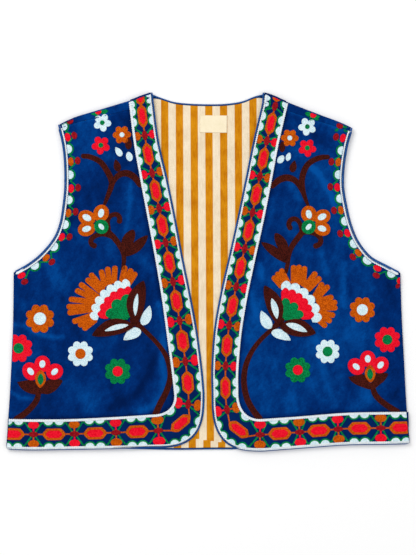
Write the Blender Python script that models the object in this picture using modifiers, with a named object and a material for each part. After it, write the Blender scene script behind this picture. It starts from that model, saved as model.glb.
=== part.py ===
"""An embroidered velvet vest, laid flat on its back with both fronts open over the striped lining.

The vest lies in the XY plane, neck towards +Y, and rests on the outer face of its back at z = 0.
The origin is under the middle of the vest. The wearer's right front is on the left, at -X.
"""

import math
from collections import namedtuple

import bmesh
import bpy
from mathutils import Vector
from mathutils.bvhtree import BVHTree

# Walls and clearances, in metres
CLOTH = 0.0018
LINING = 0.0010
BAND = 0.0010
GAP = 0.0003
BINDING_RADIUS = 0.0013
BINDING_INSET = 2 * BINDING_RADIUS + GAP

# Heights of the middles of the walls
BACK_HEIGHT = CLOTH / 2
LINING_HEIGHT = CLOTH + GAP + LINING / 2
FRONT_HEIGHT = CLOTH + LINING + 2 * GAP + CLOTH / 2

# The back's cloth turns over the shoulder and comes forward to the shoulder seam
SHOULDER_RADIUS = 0.0034
SEAM_HEIGHT = BACK_HEIGHT + 2 * SHOULDER_RADIUS

# The front's cloth rolls down at the side seam, round the edge of the back
SIDE_RADIUS = 0.0026
SIDE_ROLL_START = SIDE_RADIUS + CLOTH / 2
SIDE_ROLL_ANGLES = (25, 50, 75, 98)
ARMHOLE_FLAT = 0.0062
BACK_SIDE_INSET = 0.0022
UNDERARM_INSET = 0.0040
LINING_INSET = 0.0075
BACK_SHOWS_AT_ARMHOLE = 0.0012

# Air under a front, between its edges
CROWN = 0.0018
SHOULDER_RISE_STARTS = 0.70
EDGE_FADE = 6.0

# Grid cells of the panels
FRONT_ACROSS = 16
SIDE_ROWS = 10
ARMHOLE_ROWS = 13
SHOULDER_COLUMNS = 8
NECK_COLUMNS = 9
TURN_STEPS = 6
BAND_STEPS = 24
CORNER_STEPS = 8
SPLINE_STEPS = 12

CORNER_POWER = 3.0
INNER_CORNER_POWER = 2.3

LABEL_SIZE = (0.0390, 0.0250, 0.0010)
LABEL_PLACE = (0.0080, 0.2142)
LABEL_TURN = math.radians(-0.6)

# The front edge from shoulder seam to corner: its level, and for each front its reach from the
# middle of the vest and the width of the band that lies on it
EdgeRow = namedtuple("EdgeRow", "level left left_band right right_band")
FRONT_EDGE = (
    EdgeRow(0.2447, -0.0785, 0.0356, 0.0785, 0.0365),
    EdgeRow(0.1900, -0.0712, 0.0362, 0.0655, 0.0370),
    EdgeRow(0.1350, -0.0586, 0.0390, 0.0543, 0.0378),
    EdgeRow(0.0800, -0.0473, 0.0398, 0.0429, 0.0382),
    EdgeRow(0.0250, -0.0369, 0.0400, 0.0307, 0.0384),
    EdgeRow(-0.0300, -0.0257, 0.0420, 0.0181, 0.0395),
    EdgeRow(-0.0850, -0.0155, 0.0446, 0.0085, 0.0402),
    EdgeRow(-0.1400, -0.0082, 0.0446, 0.0048, 0.0392),
    EdgeRow(-0.1760, -0.0050, 0.0438, 0.0052, 0.0386),
)

# The front hem from corner to side seam: its distance from the middle, its level and band width
HemRow = namedtuple("HemRow", "reach left left_band right right_band")
FRONT_HEM = (
    HemRow(0.0800, -0.2558, 0.0485, -0.2609, 0.0472),
    HemRow(0.1350, -0.2574, 0.0466, -0.2567, 0.0468),
    HemRow(0.2000, -0.2584, 0.0446, -0.2520, 0.0472),
    HemRow(0.2550, -0.2592, 0.0450, -0.2512, 0.0476),
    HemRow(0.2932, -0.2580, 0.0444, -0.2502, 0.0468),
)

# The back hem: its distance from the middle and its level on each side
BackHemRow = namedtuple("BackHemRow", "reach left right")
BACK_HEM = (
    BackHemRow(0.2932, -0.2574, -0.2498),
    BackHemRow(0.2000, -0.2576, -0.2512),
    BackHemRow(0.1300, -0.2572, -0.2562),
    BackHemRow(0.0500, -0.2586, -0.2577),
    BackHemRow(0.0000, -0.2580, -0.2580),
)

# The side seam from hem to underarm, then the armhole from underarm to shoulder
Point = namedtuple("Point", "left_x left_y right_x right_y")
SIDE_SEAM = (
    Point(-0.2932, -0.2580, 0.2932, -0.2502),
    Point(-0.2900, -0.2128, 0.2887, -0.2026),
    Point(-0.2871, -0.1678, 0.2839, -0.1171),
    Point(-0.2832, -0.0808, 0.2810, -0.0600),
    Point(-0.2820, -0.0012, 0.2792, -0.0018),
)
ARMHOLE = (
    Point(-0.2820, -0.0012, 0.2792, -0.0018),
    Point(-0.2603, 0.0112, 0.2585, 0.0090),
    Point(-0.2411, 0.0268, 0.2362, 0.0215),
    Point(-0.2237, 0.0482, 0.2185, 0.0430),
    Point(-0.2148, 0.0695, 0.2078, 0.0678),
    Point(-0.2106, 0.0932, 0.2008, 0.0964),
    Point(-0.2077, 0.1222, 0.1965, 0.1251),
    Point(-0.2080, 0.1570, 0.1976, 0.1535),
    Point(-0.2108, 0.1841, 0.2022, 0.1820),
    Point(-0.2160, 0.2068, 0.2078, 0.2024),
)

# The shoulder from armhole to neck: the fold that ends the outline, and the seam in front of it
ShoulderRow = namedtuple("ShoulderRow", "fold_x fold_y seam_x seam_y")
SHOULDER = {
    "left": (
        ShoulderRow(-0.2173, 0.2119, -0.2160, 0.2068),
        ShoulderRow(-0.1929, 0.2232, -0.1925, 0.2152),
        ShoulderRow(-0.1618, 0.2327, -0.1625, 0.2226),
        ShoulderRow(-0.1151, 0.2468, -0.1150, 0.2345),
        ShoulderRow(-0.0960, 0.2540, -0.0950, 0.2410),
        ShoulderRow(-0.0802, 0.2592, -0.0785, 0.2447),
    ),
    "right": (
        ShoulderRow(0.2093, 0.2074, 0.2078, 0.2024),
        ShoulderRow(0.1910, 0.2160, 0.1900, 0.2090),
        ShoulderRow(0.1610, 0.2272, 0.1595, 0.2182),
        ShoulderRow(0.1153, 0.2450, 0.1150, 0.2333),
        ShoulderRow(0.0960, 0.2536, 0.0945, 0.2410),
        ShoulderRow(0.0792, 0.2592, 0.0785, 0.2447),
    ),
}
# The back neck between the two neck points
BACK_NECK = ((-0.0690, 0.2526), (-0.0493, 0.2464), (-0.0250, 0.2438), (0.0030, 0.2430),
             (0.0280, 0.2438), (0.0506, 0.2475), (0.0685, 0.2545))

# The broad folds that stand in the fronts: the middle of each, the way it runs, and its sizes
Fold = namedtuple("Fold", "x y direction length width height")
FOLDS = {
    "left": (
        Fold(-0.0950, -0.1500, 62, 0.060, 0.020, 0.0020),
        Fold(-0.1500, -0.0100, 84, 0.090, 0.024, 0.0014),
        Fold(-0.2350, -0.1200, -24, 0.050, 0.018, 0.0013),
        Fold(-0.1650, 0.1350, 70, 0.050, 0.022, 0.0012),
        Fold(-0.2000, -0.1850, 12, 0.060, 0.020, 0.0011),
    ),
    "right": (
        Fold(0.1560, 0.1250, -58, 0.060, 0.019, 0.0020),
        Fold(0.1900, -0.0300, 88, 0.090, 0.022, 0.0014),
        Fold(0.1350, -0.1550, -62, 0.060, 0.020, 0.0016),
        Fold(0.2400, -0.1350, 20, 0.045, 0.018, 0.0012),
        Fold(0.0900, 0.0500, 84, 0.060, 0.020, 0.0010),
    ),
}

COLOURS = {
    "velvet": ((0.006, 0.032, 0.190, 1.0), 0.85),
    "lining": ((0.720, 0.560, 0.360, 1.0), 0.90),
    "band": ((0.010, 0.022, 0.110, 1.0), 0.85),
    "binding": ((0.010, 0.050, 0.270, 1.0), 0.60),
    "label": ((0.930, 0.870, 0.700, 1.0), 0.70),
}
SIDES = ("left", "right")


def clear_scene():
    """Removes whatever the scene holds."""
    for thing in list(bpy.data.objects):
        bpy.data.objects.remove(thing)


def material(name):
    """The named material, made once."""
    found = bpy.data.materials.get(name)
    if found:
        return found
    colour, roughness = COLOURS[name]
    made = bpy.data.materials.new(name)
    made.use_nodes = True
    shader = made.node_tree.nodes["Principled BSDF"]
    shader.inputs["Base Color"].default_value = colour
    shader.inputs["Roughness"].default_value = roughness
    shader.inputs["Metallic"].default_value = 0.0
    return made


def add_object(name, data, material_name):
    """Links a new object with its material into the vest's collection."""
    thing = bpy.data.objects.new(name, data)
    data.materials.append(material(material_name))
    VEST.objects.link(thing)
    return thing


def ease(t):
    """A smooth step from 0 to 1 as t goes from 0 to 1."""
    t = min(1.0, max(0.0, t))
    return t * t * (3 - 2 * t)


def flat(points):
    """Plane vectors from pairs of numbers."""
    return [Vector(p) for p in points]


def even(points, count):
    """count + 1 points at equal steps along a line of points, whose first two numbers are x and y."""
    lengths = [0.0]
    for a, b in zip(points, points[1:]):
        lengths.append(lengths[-1] + math.hypot(b[0] - a[0], b[1] - a[1]))
    found = []
    k = 0
    for i in range(count + 1):
        reach = lengths[-1] * i / count
        while k < len(points) - 2 and lengths[k + 1] < reach:
            k += 1
        share = (reach - lengths[k]) / max(lengths[k + 1] - lengths[k], 1e-9)
        found.append(points[k].lerp(points[k + 1], share))
    return found


def crossing(points, axis, value):
    """The spot at which a line of points passes a value of its x or y, or else its nearer end."""
    for a, b in zip(points, points[1:]):
        if min(a[axis], b[axis]) <= value <= max(a[axis], b[axis]):
            return a.lerp(b, (value - a[axis]) / (b[axis] - a[axis]))
    return min((points[0], points[-1]), key=lambda p: abs(p[axis] - value))


def split(points, times):
    """A line of points with each of its steps cut into equal parts."""
    found = [points[0]]
    for a, b in zip(points, points[1:]):
        found += [a.lerp(b, k / times) for k in range(1, times + 1)]
    return found


def spline(points, count):
    """count + 1 points at equal steps along the smooth curve through the given points."""
    chain = [2 * points[0] - points[1], *points, 2 * points[-1] - points[-2]]
    dense = []
    for a, b, c, d in zip(chain, chain[1:], chain[2:], chain[3:]):
        for k in range(SPLINE_STEPS):
            t = k / SPLINE_STEPS
            bend = (2 * a - 5 * b + 4 * c - d) * t**2 + (3 * b - a - 3 * c + d) * t**3
            dense.append(0.5 * (2 * b + (c - a) * t + bend))
    dense.append(points[-1])
    return even(dense, count)


def inward(points, side):
    """At each point of an edge that runs from shoulder to hem, the unit vector into the cloth."""
    turn = -1 if side == "left" else 1
    found = []
    for i in range(len(points)):
        before, after = points[max(i - 1, 0)], points[min(i + 1, len(points) - 1)]
        along = Vector((after[0] - before[0], after[1] - before[1])).normalized()
        found.append(Vector((-turn * along.y, turn * along.x)))
    return found


def offset(points, side, distance):
    """The edge moved into the cloth by a distance."""
    return [Vector(p[:2]) + n * distance for p, n in zip(points, inward(points, side))]


def rounded_corner(start, end, power):
    """The quarter of a squared ellipse that leaves start straight down and meets end level."""
    found = []
    for k in range(4 * CORNER_STEPS + 1):
        angle = math.pi / 2 * k / (4 * CORNER_STEPS)
        x = end.x + (start.x - end.x) * max(math.cos(angle), 0) ** (2 / power)
        y = start.y + (end.y - start.y) * math.sin(angle) ** (2 / power)
        found.append(Vector((x, y)))
    return even(found, CORNER_STEPS)


def band_rails(side):
    """The matched points of the front's edge and of its band's inner edge, from seam to side."""
    sign = -1 if side == "left" else 1
    rows = [(getattr(r, side), r.level, getattr(r, side + "_band")) for r in FRONT_EDGE]
    down = spline(flat(rows), BAND_STEPS)
    rows = [(sign * r.reach, getattr(r, side), getattr(r, side + "_band")) for r in FRONT_HEM]
    along = spline(flat(rows), BAND_STEPS // 2)
    inner_down = [Vector(p[:2]) + n * p[2] for p, n in zip(down, inward(down, side))]
    inner_along = [Vector(p[:2]) + n * p[2] for p, n in zip(along, inward(along, side))]
    corner = rounded_corner(down[-1].xy, along[0].xy, CORNER_POWER)
    inner_corner = rounded_corner(inner_down[-1], inner_along[0], INNER_CORNER_POWER)
    outer = [p.xy for p in down] + corner[1:-1] + [p.xy for p in along]
    return outer, inner_down + inner_corner[1:-1] + inner_along


def outer_line(side):
    """The side seam and the armhole as one line from hem to shoulder seam, and the ways out of it."""
    def pick(table):
        return flat([(getattr(r, side + "_x"), getattr(r, side + "_y")) for r in table])
    seam = spline(pick(SIDE_SEAM), SIDE_ROWS)
    arm = spline(pick(ARMHOLE), 3 * ARMHOLE_ROWS)
    arm = arm[:6:2] + arm[6::3]
    line = seam + arm[1:]
    ways = [-n for n in reversed(inward(list(reversed(line)), "right" if side == "left" else "left"))]
    return line, ways


def shoulder_lines(side, times=1):
    """The shoulder's fold and seam, from armhole to neck, without the strip at each end that is bound."""
    rows = SHOULDER[side]
    found = []
    for names in (("fold_x", "fold_y"), ("seam_x", "seam_y")):
        line = spline(flat([[getattr(r, n) for n in names] for r in rows]), 60)
        length = sum((b - a).length for a, b in zip(line, line[1:]))
        first = round(60 * BINDING_INSET / length)
        found.append(split(even(line[first:60 - first + 1], SHOULDER_COLUMNS), times))
    return found


def patch(bottom, top, left, right):
    """The points of a four-sided patch between its edge lines, as a function of column and row."""
    columns, rows = len(bottom) - 1, len(left) - 1

    def place(i, j):
        u, v = i / columns, j / rows
        sides = bottom[i] * (1 - v) + top[i] * v + left[j] * (1 - u) + right[j] * u
        corners = (bottom[0] * (1 - u) + bottom[-1] * u) * (1 - v) + (top[0] * (1 - u) + top[-1] * u) * v
        return sides - corners

    return place


def grid(columns, rows, place, keep=None, merge_flat=False):
    """A bmesh grid whose points are put in place by a function, without the cells that keep refuses.

    Its flat part can be merged into one face.
    """
    mesh = bmesh.new()
    bmesh.ops.create_grid(mesh, x_segments=columns, y_segments=rows, size=0.5)
    refused = []
    if keep:
        for face in mesh.faces:
            middle = face.calc_center_median()
            if not keep((middle.x + 0.5) * columns, (middle.y + 0.5) * rows):
                refused.append(face)
    bmesh.ops.delete(mesh, geom=refused, context="FACES")
    for vert in mesh.verts:
        vert.co = place(round((vert.co.x + 0.5) * columns), round((vert.co.y + 0.5) * rows))
    if merge_flat:
        level = min(v.co.z for v in mesh.verts)
        bmesh.ops.dissolve_faces(mesh, faces=[f for f in mesh.faces
                                              if all(v.co.z - level < 1e-6 for v in f.verts)])
    bmesh.ops.recalc_face_normals(mesh, faces=mesh.faces)
    return mesh


def wall(name, surface, thickness, material_name):
    """A closed wall of cloth about an open surface."""
    data = bpy.data.meshes.new(name)
    surface.to_mesh(data)
    surface.free()
    thing = add_object(name, data, material_name)
    solid = thing.modifiers.new("Thickness", "SOLIDIFY")
    solid.thickness = thickness
    solid.offset = 0
    data.shade_smooth()
    data.set_sharp_from_angle(angle=math.radians(50))
    return thing


def fold_height(side, x, y):
    """How high the broad folds stand at a point of a front."""
    height = 0.0
    for fold in FOLDS[side]:
        way = Vector((math.cos(math.radians(fold.direction)), math.sin(math.radians(fold.direction))))
        away = Vector((x - fold.x, y - fold.y))
        along, across = away.dot(way), away.cross(way)
        height += fold.height * math.exp(-(along / fold.length) ** 2 - (across / fold.width) ** 2)
    return height


def build_front(side):
    """A front panel from the front edge to the side seam, lifted at the shoulder and rolled at the side."""
    outer, _ = band_rails(side)
    edge = offset(outer, side, BINDING_INSET)
    middle = BAND_STEPS + CORNER_STEPS // 2
    line, ways = outer_line(side)
    rows = len(line) - 1
    inset = [SIDE_ROLL_START + (ARMHOLE_FLAT - SIDE_ROLL_START) * ease(j - SIDE_ROWS)
             for j in range(rows + 1)]
    outside = [p - way * d for p, way, d in zip(line, ways, inset)]
    _, seam = shoulder_lines(side)
    start = crossing(seam, 0, seam[0].x - math.copysign(ARMHOLE_FLAT - BINDING_INSET, seam[0].x))
    tail = even([start, seam[0]], len(SIDE_ROLL_ANGLES))
    seam = even([p for p in reversed(seam) if abs(p.x) < abs(start.x)] + [start], FRONT_ACROSS)
    hem = even(edge[middle:], FRONT_ACROSS)
    hem[-1] = outside[0] = Vector((outside[0].x, hem[-1].y))
    hem = even(hem, FRONT_ACROSS)
    front = even(list(reversed(edge[:middle + 1])), rows)
    front[-1] = seam[0]
    outside[-1] = seam[-1]
    body = patch(hem, seam, front, outside)

    def rise(u, v, x, y):
        calm = ease(EDGE_FADE * u) * ease(EDGE_FADE * (1 - u)) * ease(EDGE_FADE * v) * ease(EDGE_FADE * (1 - v))
        crown = CROWN * math.sin(math.pi * u) * math.sin(math.pi * v)
        shoulder = (SEAM_HEIGHT - FRONT_HEIGHT) * ease((v - SHOULDER_RISE_STARTS) / (1 - SHOULDER_RISE_STARTS))
        return FRONT_HEIGHT + crown + shoulder + calm * fold_height(side, x, y)

    def place(i, j):
        v = j / rows
        if i <= FRONT_ACROSS:
            spot = body(i, j)
            return Vector((*spot, rise(i / FRONT_ACROSS, v, *spot)))
        k = i - FRONT_ACROSS
        angle = math.radians(SIDE_ROLL_ANGLES[k - 1])
        at_armhole = ease(j - SIDE_ROWS)
        rolled_in = CLOTH / 2 + SIDE_RADIUS * (1 - math.sin(angle))
        flat_in = ARMHOLE_FLAT + (BINDING_INSET - ARMHOLE_FLAT) * k / len(SIDE_ROLL_ANGLES)
        depth = rolled_in + (flat_in - rolled_in) * at_armhole
        spot = outside[j] + ways[j] * (inset[j] - depth) if j < rows else tail[k]
        edge_height = rise(1, v, *spot)
        rolled = FRONT_HEIGHT - SIDE_RADIUS * (1 - math.cos(angle))
        return Vector((*spot, rolled + (edge_height - rolled) * at_armhole))

    surface = grid(FRONT_ACROSS + len(SIDE_ROLL_ANGLES), rows, place)
    return wall(f"front_{side}", surface, CLOTH, "velvet")


def back_edges(side_inset, underarm_inset, armhole_inset, shoulder_inset):
    """The four edge lines of the back: hem, top, left and right."""
    uprights = []
    for side in SIDES:
        line, ways = outer_line(side)
        insets = [side_inset] * SIDE_ROWS + [underarm_inset] * 2
        insets += [armhole_inset] * (len(line) - len(insets))
        uprights.append([p - way * d for p, way, d in zip(line, ways, insets)])
    shoulders = []
    for side in SIDES:
        fold, seam = shoulder_lines(side)
        shoulders.append([f + (s - f).normalized() * shoulder_inset for f, s in zip(fold, seam)])
    left, right = shoulders
    neck = [left[-1]] + [Vector((x, y - BINDING_INSET)) for x, y in BACK_NECK] + [right[-1]]
    top = left + spline(neck, NECK_COLUMNS)[1:-1] + list(reversed(right))
    levels = [(-r.reach, r.left) for r in BACK_HEM] + [(r.reach, r.right) for r in reversed(BACK_HEM[:-1])]
    hem = [p + Vector((0, BINDING_INSET)) for p in spline(flat(levels), len(top) - 1)]
    for upright, corner in zip(uprights, (0, -1)):
        hem[corner] = Vector((upright[0].x, hem[corner].y))
        upright[0] = hem[corner]
        upright[-1] = top[corner]
    return even(hem, len(top) - 1), top, uprights[0], uprights[1]


def turnover(side, times=1):
    """The back's cloth over the shoulder, as a function of column and step from the fold to the seam.

    It gives the middle of the wall and the way out of it.
    """
    fold, seam = shoulder_lines(side, times)

    def place(column, step):
        way = (fold[column] - seam[column]).normalized()
        if step <= TURN_STEPS:
            angle = math.pi * step / TURN_STEPS
            spot = fold[column] + way * SHOULDER_RADIUS * (math.sin(angle) - 1)
            height = BACK_HEIGHT + SHOULDER_RADIUS * (1 - math.cos(angle))
            out = Vector((*(way * math.sin(angle)), -math.cos(angle)))
            return Vector((*spot, height)), out
        start = fold[column] - way * SHOULDER_RADIUS
        spot = start.lerp(seam[column] + way * GAP, (step - TURN_STEPS) / 2)
        return Vector((*spot, SEAM_HEIGHT)), Vector((0, 0, 1))

    return place


def build_back(edges):
    """The back panel, flat on the ground, with a strip over each shoulder down to the shoulder seam."""
    body = patch(*edges)
    columns, rows = len(edges[0]) - 1, len(edges[2]) - 1
    turns = {side: turnover(side) for side in SIDES}

    def keep(column, row):
        return row < rows or column < SHOULDER_COLUMNS or column > columns - SHOULDER_COLUMNS

    def place(i, j):
        if j <= rows:
            return Vector((*body(i, j), BACK_HEIGHT))
        if i <= SHOULDER_COLUMNS:
            return turns["left"](i, j - rows)[0]
        return turns["right"](columns - i, j - rows)[0]

    surface = grid(columns, rows + TURN_STEPS + 2, place, keep, merge_flat=True)
    return wall("back", surface, CLOTH, "velvet")


def build_lining():
    """The back's striped lining, which shows between the fronts."""
    edges = back_edges(LINING_INSET, LINING_INSET, LINING_INSET, 2 * SHOULDER_RADIUS)
    body = patch(*edges)

    def place(i, j):
        return Vector((*body(i, j), LINING_HEIGHT))

    surface = grid(len(edges[0]) - 1, len(edges[2]) - 1, place, merge_flat=True)
    return wall("lining_back", surface, LINING, "lining")


def tree_of(thing):
    """A search tree over the finished faces of an object."""
    bpy.context.view_layer.update()
    return BVHTree.FromObject(thing, bpy.context.evaluated_depsgraph_get())


def top_height(tree, spot):
    """The height of the top face over a point, or of the nearest face where the point is off the cloth."""
    hit = tree.ray_cast(Vector((*spot, 1.0)), Vector((0, 0, -1)))[0]
    if hit is None:
        hit = tree.find_nearest(Vector((*spot, SEAM_HEIGHT)))[0]
    return hit.z


def build_band(side, front_tree):
    """The embroidered band on a front, along the front edge, round the corner and along the hem."""
    outer, inner = band_rails(side)
    outer = offset(outer, side, BINDING_INSET + GAP)
    side_seam, _ = outer_line(side)
    steps = len(outer) - 1
    across = 4
    _, seam = shoulder_lines(side)
    for rail in (outer, inner):
        rail[0] = Vector((rail[0].x, crossing(seam, 0, rail[0].x).y - 2 * GAP))
        end = crossing(side_seam, 1, rail[-1].y).x
        rail[-1] = Vector((end - math.copysign(SIDE_ROLL_START + 2 * GAP, end), rail[-1].y))

    def place(i, j):
        spot = outer[j].lerp(inner[j], i / across)
        height = top_height(front_tree, outer[j].lerp(inner[j], min(max(i / across, 0.03), 0.97)))
        return Vector((*spot, height + GAP + BAND / 2))

    return wall(f"band_{side}", grid(across, steps, place), BAND, "band")


def build_neck_band(side):
    """The end of the back neck's band, which comes over the shoulder to the seam."""
    times = 3
    columns = times * SHOULDER_COLUMNS
    place_turn = turnover(side, times)
    width = getattr(FRONT_EDGE[0], side + "_band") - BINDING_INSET
    fold, _ = shoulder_lines(side, times)
    first = min(range(columns), key=lambda k: abs((fold[k] - fold[-1]).length - width))
    start = TURN_STEPS // 2

    def place(i, j):
        spot, out = place_turn(first + i, start + j)
        return spot + out * (CLOTH / 2 + GAP + BAND / 2)

    return wall(f"neck_band_{side}", grid(columns - first, TURN_STEPS + 2 - start, place), BAND, "band")


def build_tube(name, points):
    """A round binding along a line of points."""
    data = bpy.data.curves.new(name, "CURVE")
    data.dimensions = "3D"
    data.bevel_depth = BINDING_RADIUS
    data.bevel_resolution = 1
    data.use_fill_caps = True
    run = data.splines.new("POLY")
    run.points.add(len(points) - 1)
    for point, spot in zip(run.points, points):
        point.co = (*spot, 1)
    return add_object(name, data, "binding")


def over_shoulder(side, end):
    """The binding's way from the top of the shoulder fold down to the seam, at the neck or the armhole."""
    place_turn = turnover(side)
    last, before = (SHOULDER_COLUMNS, SHOULDER_COLUMNS - 1) if end == "neck" else (0, 1)
    found = []
    for step in range(TURN_STEPS // 2 + 1, TURN_STEPS + 3):
        spot = place_turn(last, step)[0]
        way = (spot - place_turn(before, step)[0]).normalized()
        found.append(spot + way * (GAP + BINDING_RADIUS))
    return found


def build_bindings(side, front_tree):
    """The bindings of a front's edge and hem, of its armhole, and of the back's armhole."""
    outer, _ = band_rails(side)
    edge = offset(outer, side, BINDING_RADIUS)
    inside = offset(outer, side, BINDING_INSET + BINDING_RADIUS)
    limit = abs(SIDE_SEAM[0].left_x) - SIDE_ROLL_START - GAP
    path = over_shoulder(side, "neck")
    for spot, under in zip(edge[1:], inside[1:]):
        if abs(spot.x) < limit:
            path.append(Vector((*spot, top_height(front_tree, under) - CLOTH / 2)))
    build_tube(f"binding_edge_{side}", path)

    line, ways = outer_line(side)
    start = SIDE_ROWS + 1
    path = []
    for spot, way in zip(line[start:-1], ways[start:-1]):
        height = top_height(front_tree, spot - way * (BINDING_INSET + BINDING_RADIUS)) - CLOTH / 2
        path.append(Vector((*(spot - way * BINDING_RADIUS), height)))
    path += reversed(over_shoulder(side, "armhole"))
    build_tube(f"binding_armhole_{side}", path)

    path = [Vector((*(spot + way * (BACK_SHOWS_AT_ARMHOLE - BINDING_RADIUS)), BINDING_RADIUS))
            for spot, way in zip(line[start:], ways[start:])]
    build_tube(f"binding_back_armhole_{side}", path)


def build_back_bindings(edges):
    """The bindings of the back's neck and hem."""
    hem, top, _, _ = edges
    neck = top[SHOULDER_COLUMNS:SHOULDER_COLUMNS + NECK_COLUMNS + 1]
    neck[0], neck[-1] = neck[1].lerp(neck[0], 0.8), neck[-2].lerp(neck[-1], 0.8)
    away = GAP + BINDING_RADIUS
    build_tube("binding_neck", [Vector((*p, BINDING_RADIUS)) for p in offset(neck, "left", -away)])
    build_tube("binding_hem", [Vector((*p, BINDING_RADIUS)) for p in offset(hem, "left", away)])


def build_label():
    """The small woven label that is sewn to the lining under the neck."""
    mesh = bmesh.new()
    bmesh.ops.create_cube(mesh, size=1)
    bmesh.ops.scale(mesh, vec=LABEL_SIZE, verts=mesh.verts)
    data = bpy.data.meshes.new("label")
    mesh.to_mesh(data)
    mesh.free()
    label = add_object("label", data, "label")
    label.location = (*LABEL_PLACE, CLOTH + LINING + 2 * GAP + LABEL_SIZE[2] / 2)
    label.rotation_euler = (0, 0, LABEL_TURN)
    softened = label.modifiers.new("Soft edges", "BEVEL")
    softened.width = 0.0002
    softened.segments = 1


def main():
    """Builds the vest, the lowest cloth first."""
    edges = back_edges(BACK_SIDE_INSET, UNDERARM_INSET, BINDING_INSET - BACK_SHOWS_AT_ARMHOLE,
                       SHOULDER_RADIUS)
    build_back(edges)
    build_lining()
    build_back_bindings(edges)
    build_label()
    for side in SIDES:
        front_tree = tree_of(build_front(side))
        build_band(side, front_tree)
        build_neck_band(side)
        build_bindings(side, front_tree)


clear_scene()
VEST = bpy.data.collections.new("velvet vest")
bpy.context.scene.collection.children.link(VEST)
main()
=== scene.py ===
"""The looks of an embroidered velvet vest that lies flat on its back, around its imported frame.

Lengths are in metres, in the frame of the CAD: +X across the vest, +Y towards the neck, +Z up.
"left" and "right" are the two fronts as the camera sees them.
"""

import logging
import math
from dataclasses import dataclass, field
from enum import Enum
from itertools import cycle
from typing import Callable, Iterable, NamedTuple, Optional, Sequence

import bmesh
import bpy
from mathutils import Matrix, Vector, noise
from mathutils.bvhtree import BVHTree
from mathutils.geometry import intersect_point_line
from mathutils.kdtree import KDTree


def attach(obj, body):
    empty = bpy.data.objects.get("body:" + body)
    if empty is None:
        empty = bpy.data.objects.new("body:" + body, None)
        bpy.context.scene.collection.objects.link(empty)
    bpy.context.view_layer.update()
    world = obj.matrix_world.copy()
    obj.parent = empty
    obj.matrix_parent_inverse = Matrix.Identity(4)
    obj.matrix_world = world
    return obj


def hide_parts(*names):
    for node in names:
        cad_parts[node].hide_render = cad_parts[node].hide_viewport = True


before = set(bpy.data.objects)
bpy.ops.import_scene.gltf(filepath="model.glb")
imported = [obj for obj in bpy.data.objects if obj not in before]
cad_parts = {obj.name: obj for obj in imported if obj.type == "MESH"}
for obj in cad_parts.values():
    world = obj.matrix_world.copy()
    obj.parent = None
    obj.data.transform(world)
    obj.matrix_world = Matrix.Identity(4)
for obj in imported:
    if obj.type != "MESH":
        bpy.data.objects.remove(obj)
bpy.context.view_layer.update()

LOG = logging.getLogger("velvet vest")

# Walls and clearances of the cloth
CLOTH = 0.0018
LINING = 0.0010
BAND = 0.0010
GAP = 0.0003
BINDING_RADIUS = 0.0013
BINDING_INSET = 2 * BINDING_RADIUS + GAP
BACK_HEIGHT = CLOTH / 2
LINING_HEIGHT = CLOTH + GAP + LINING / 2
FRONT_HEIGHT = CLOTH + LINING + 2 * GAP + CLOTH / 2
SHOULDER_RADIUS = 0.0034
SEAM_HEIGHT = BACK_HEIGHT + 2 * SHOULDER_RADIUS
SIDE_RADIUS = 0.0026
SIDE_ROLL_START = SIDE_RADIUS + CLOTH / 2
ARMHOLE_FLAT = 0.0062
BACK_SIDE_INSET = 0.0022
UNDERARM_INSET = 0.0040
LINING_INSET = 0.0075
BACK_SHOWS_AT_ARMHOLE = 0.0012
CROWN = 0.0018
LABEL_SIZE = (0.0390, 0.0250, 0.0010)
LABEL_PLACE = (0.0080, 0.2142)
LABEL_TURN = -0.6
LABEL_GRID = (26, 18)
SHOULDER_RISE_STARTS = 0.70
SHARP_FROM = math.radians(60)
ROLL_TURN = math.radians(98)
BRAID_INSET = BINDING_INSET + 0.0005
INNER_BRAID_INSET = 0.0016
OVER_CLOTH = 0.0001

# Steps of the cloth's grids
FRONT_ACROSS = 120
SIDE_ROWS = 84
ARMHOLE_ROWS = 90
ROLL_STEPS = 8
TURN_STEPS = 10
SHOULDER_COLUMNS = 40
NECK_COLUMNS = 44
LINING_ROWS = 150
UNDERARM_STEPS = 6
BAND_DOWN = 220
BAND_ALONG = 120
BAND_CORNER = 40
BAND_ACROSS = 14
CORNER_POWER = 3.0
INNER_CORNER_POWER = 2.3


class Side(Enum):
    """One of the two fronts, as the camera sees them."""

    LEFT = "left"
    RIGHT = "right"

    @property
    def sign(self) -> int:
        """-1 for the front at -X and 1 for the front at +X."""
        return -1 if self is Side.LEFT else 1


class EdgeRow(NamedTuple):
    """One level of the front edges, or one reach from the middle along their hems.

    left and right say where each line passes it, and the other two how wide its band is.
    """

    place: float
    left: float
    left_band: float
    right: float
    right_band: float


class Pair(NamedTuple):
    """Matching points of the left and the right outline."""

    left_x: float
    left_y: float
    right_x: float
    right_y: float


class ShoulderRow(NamedTuple):
    """A point of the shoulder's fold and the matching point of the seam in front of it."""

    fold_x: float
    fold_y: float
    seam_x: float
    seam_y: float


class Fold(NamedTuple):
    """A broad fold that stands in a front: its middle, the way it runs in degrees, and its sizes."""

    x: float
    y: float
    direction: float
    length: float
    width: float
    height: float


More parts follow.
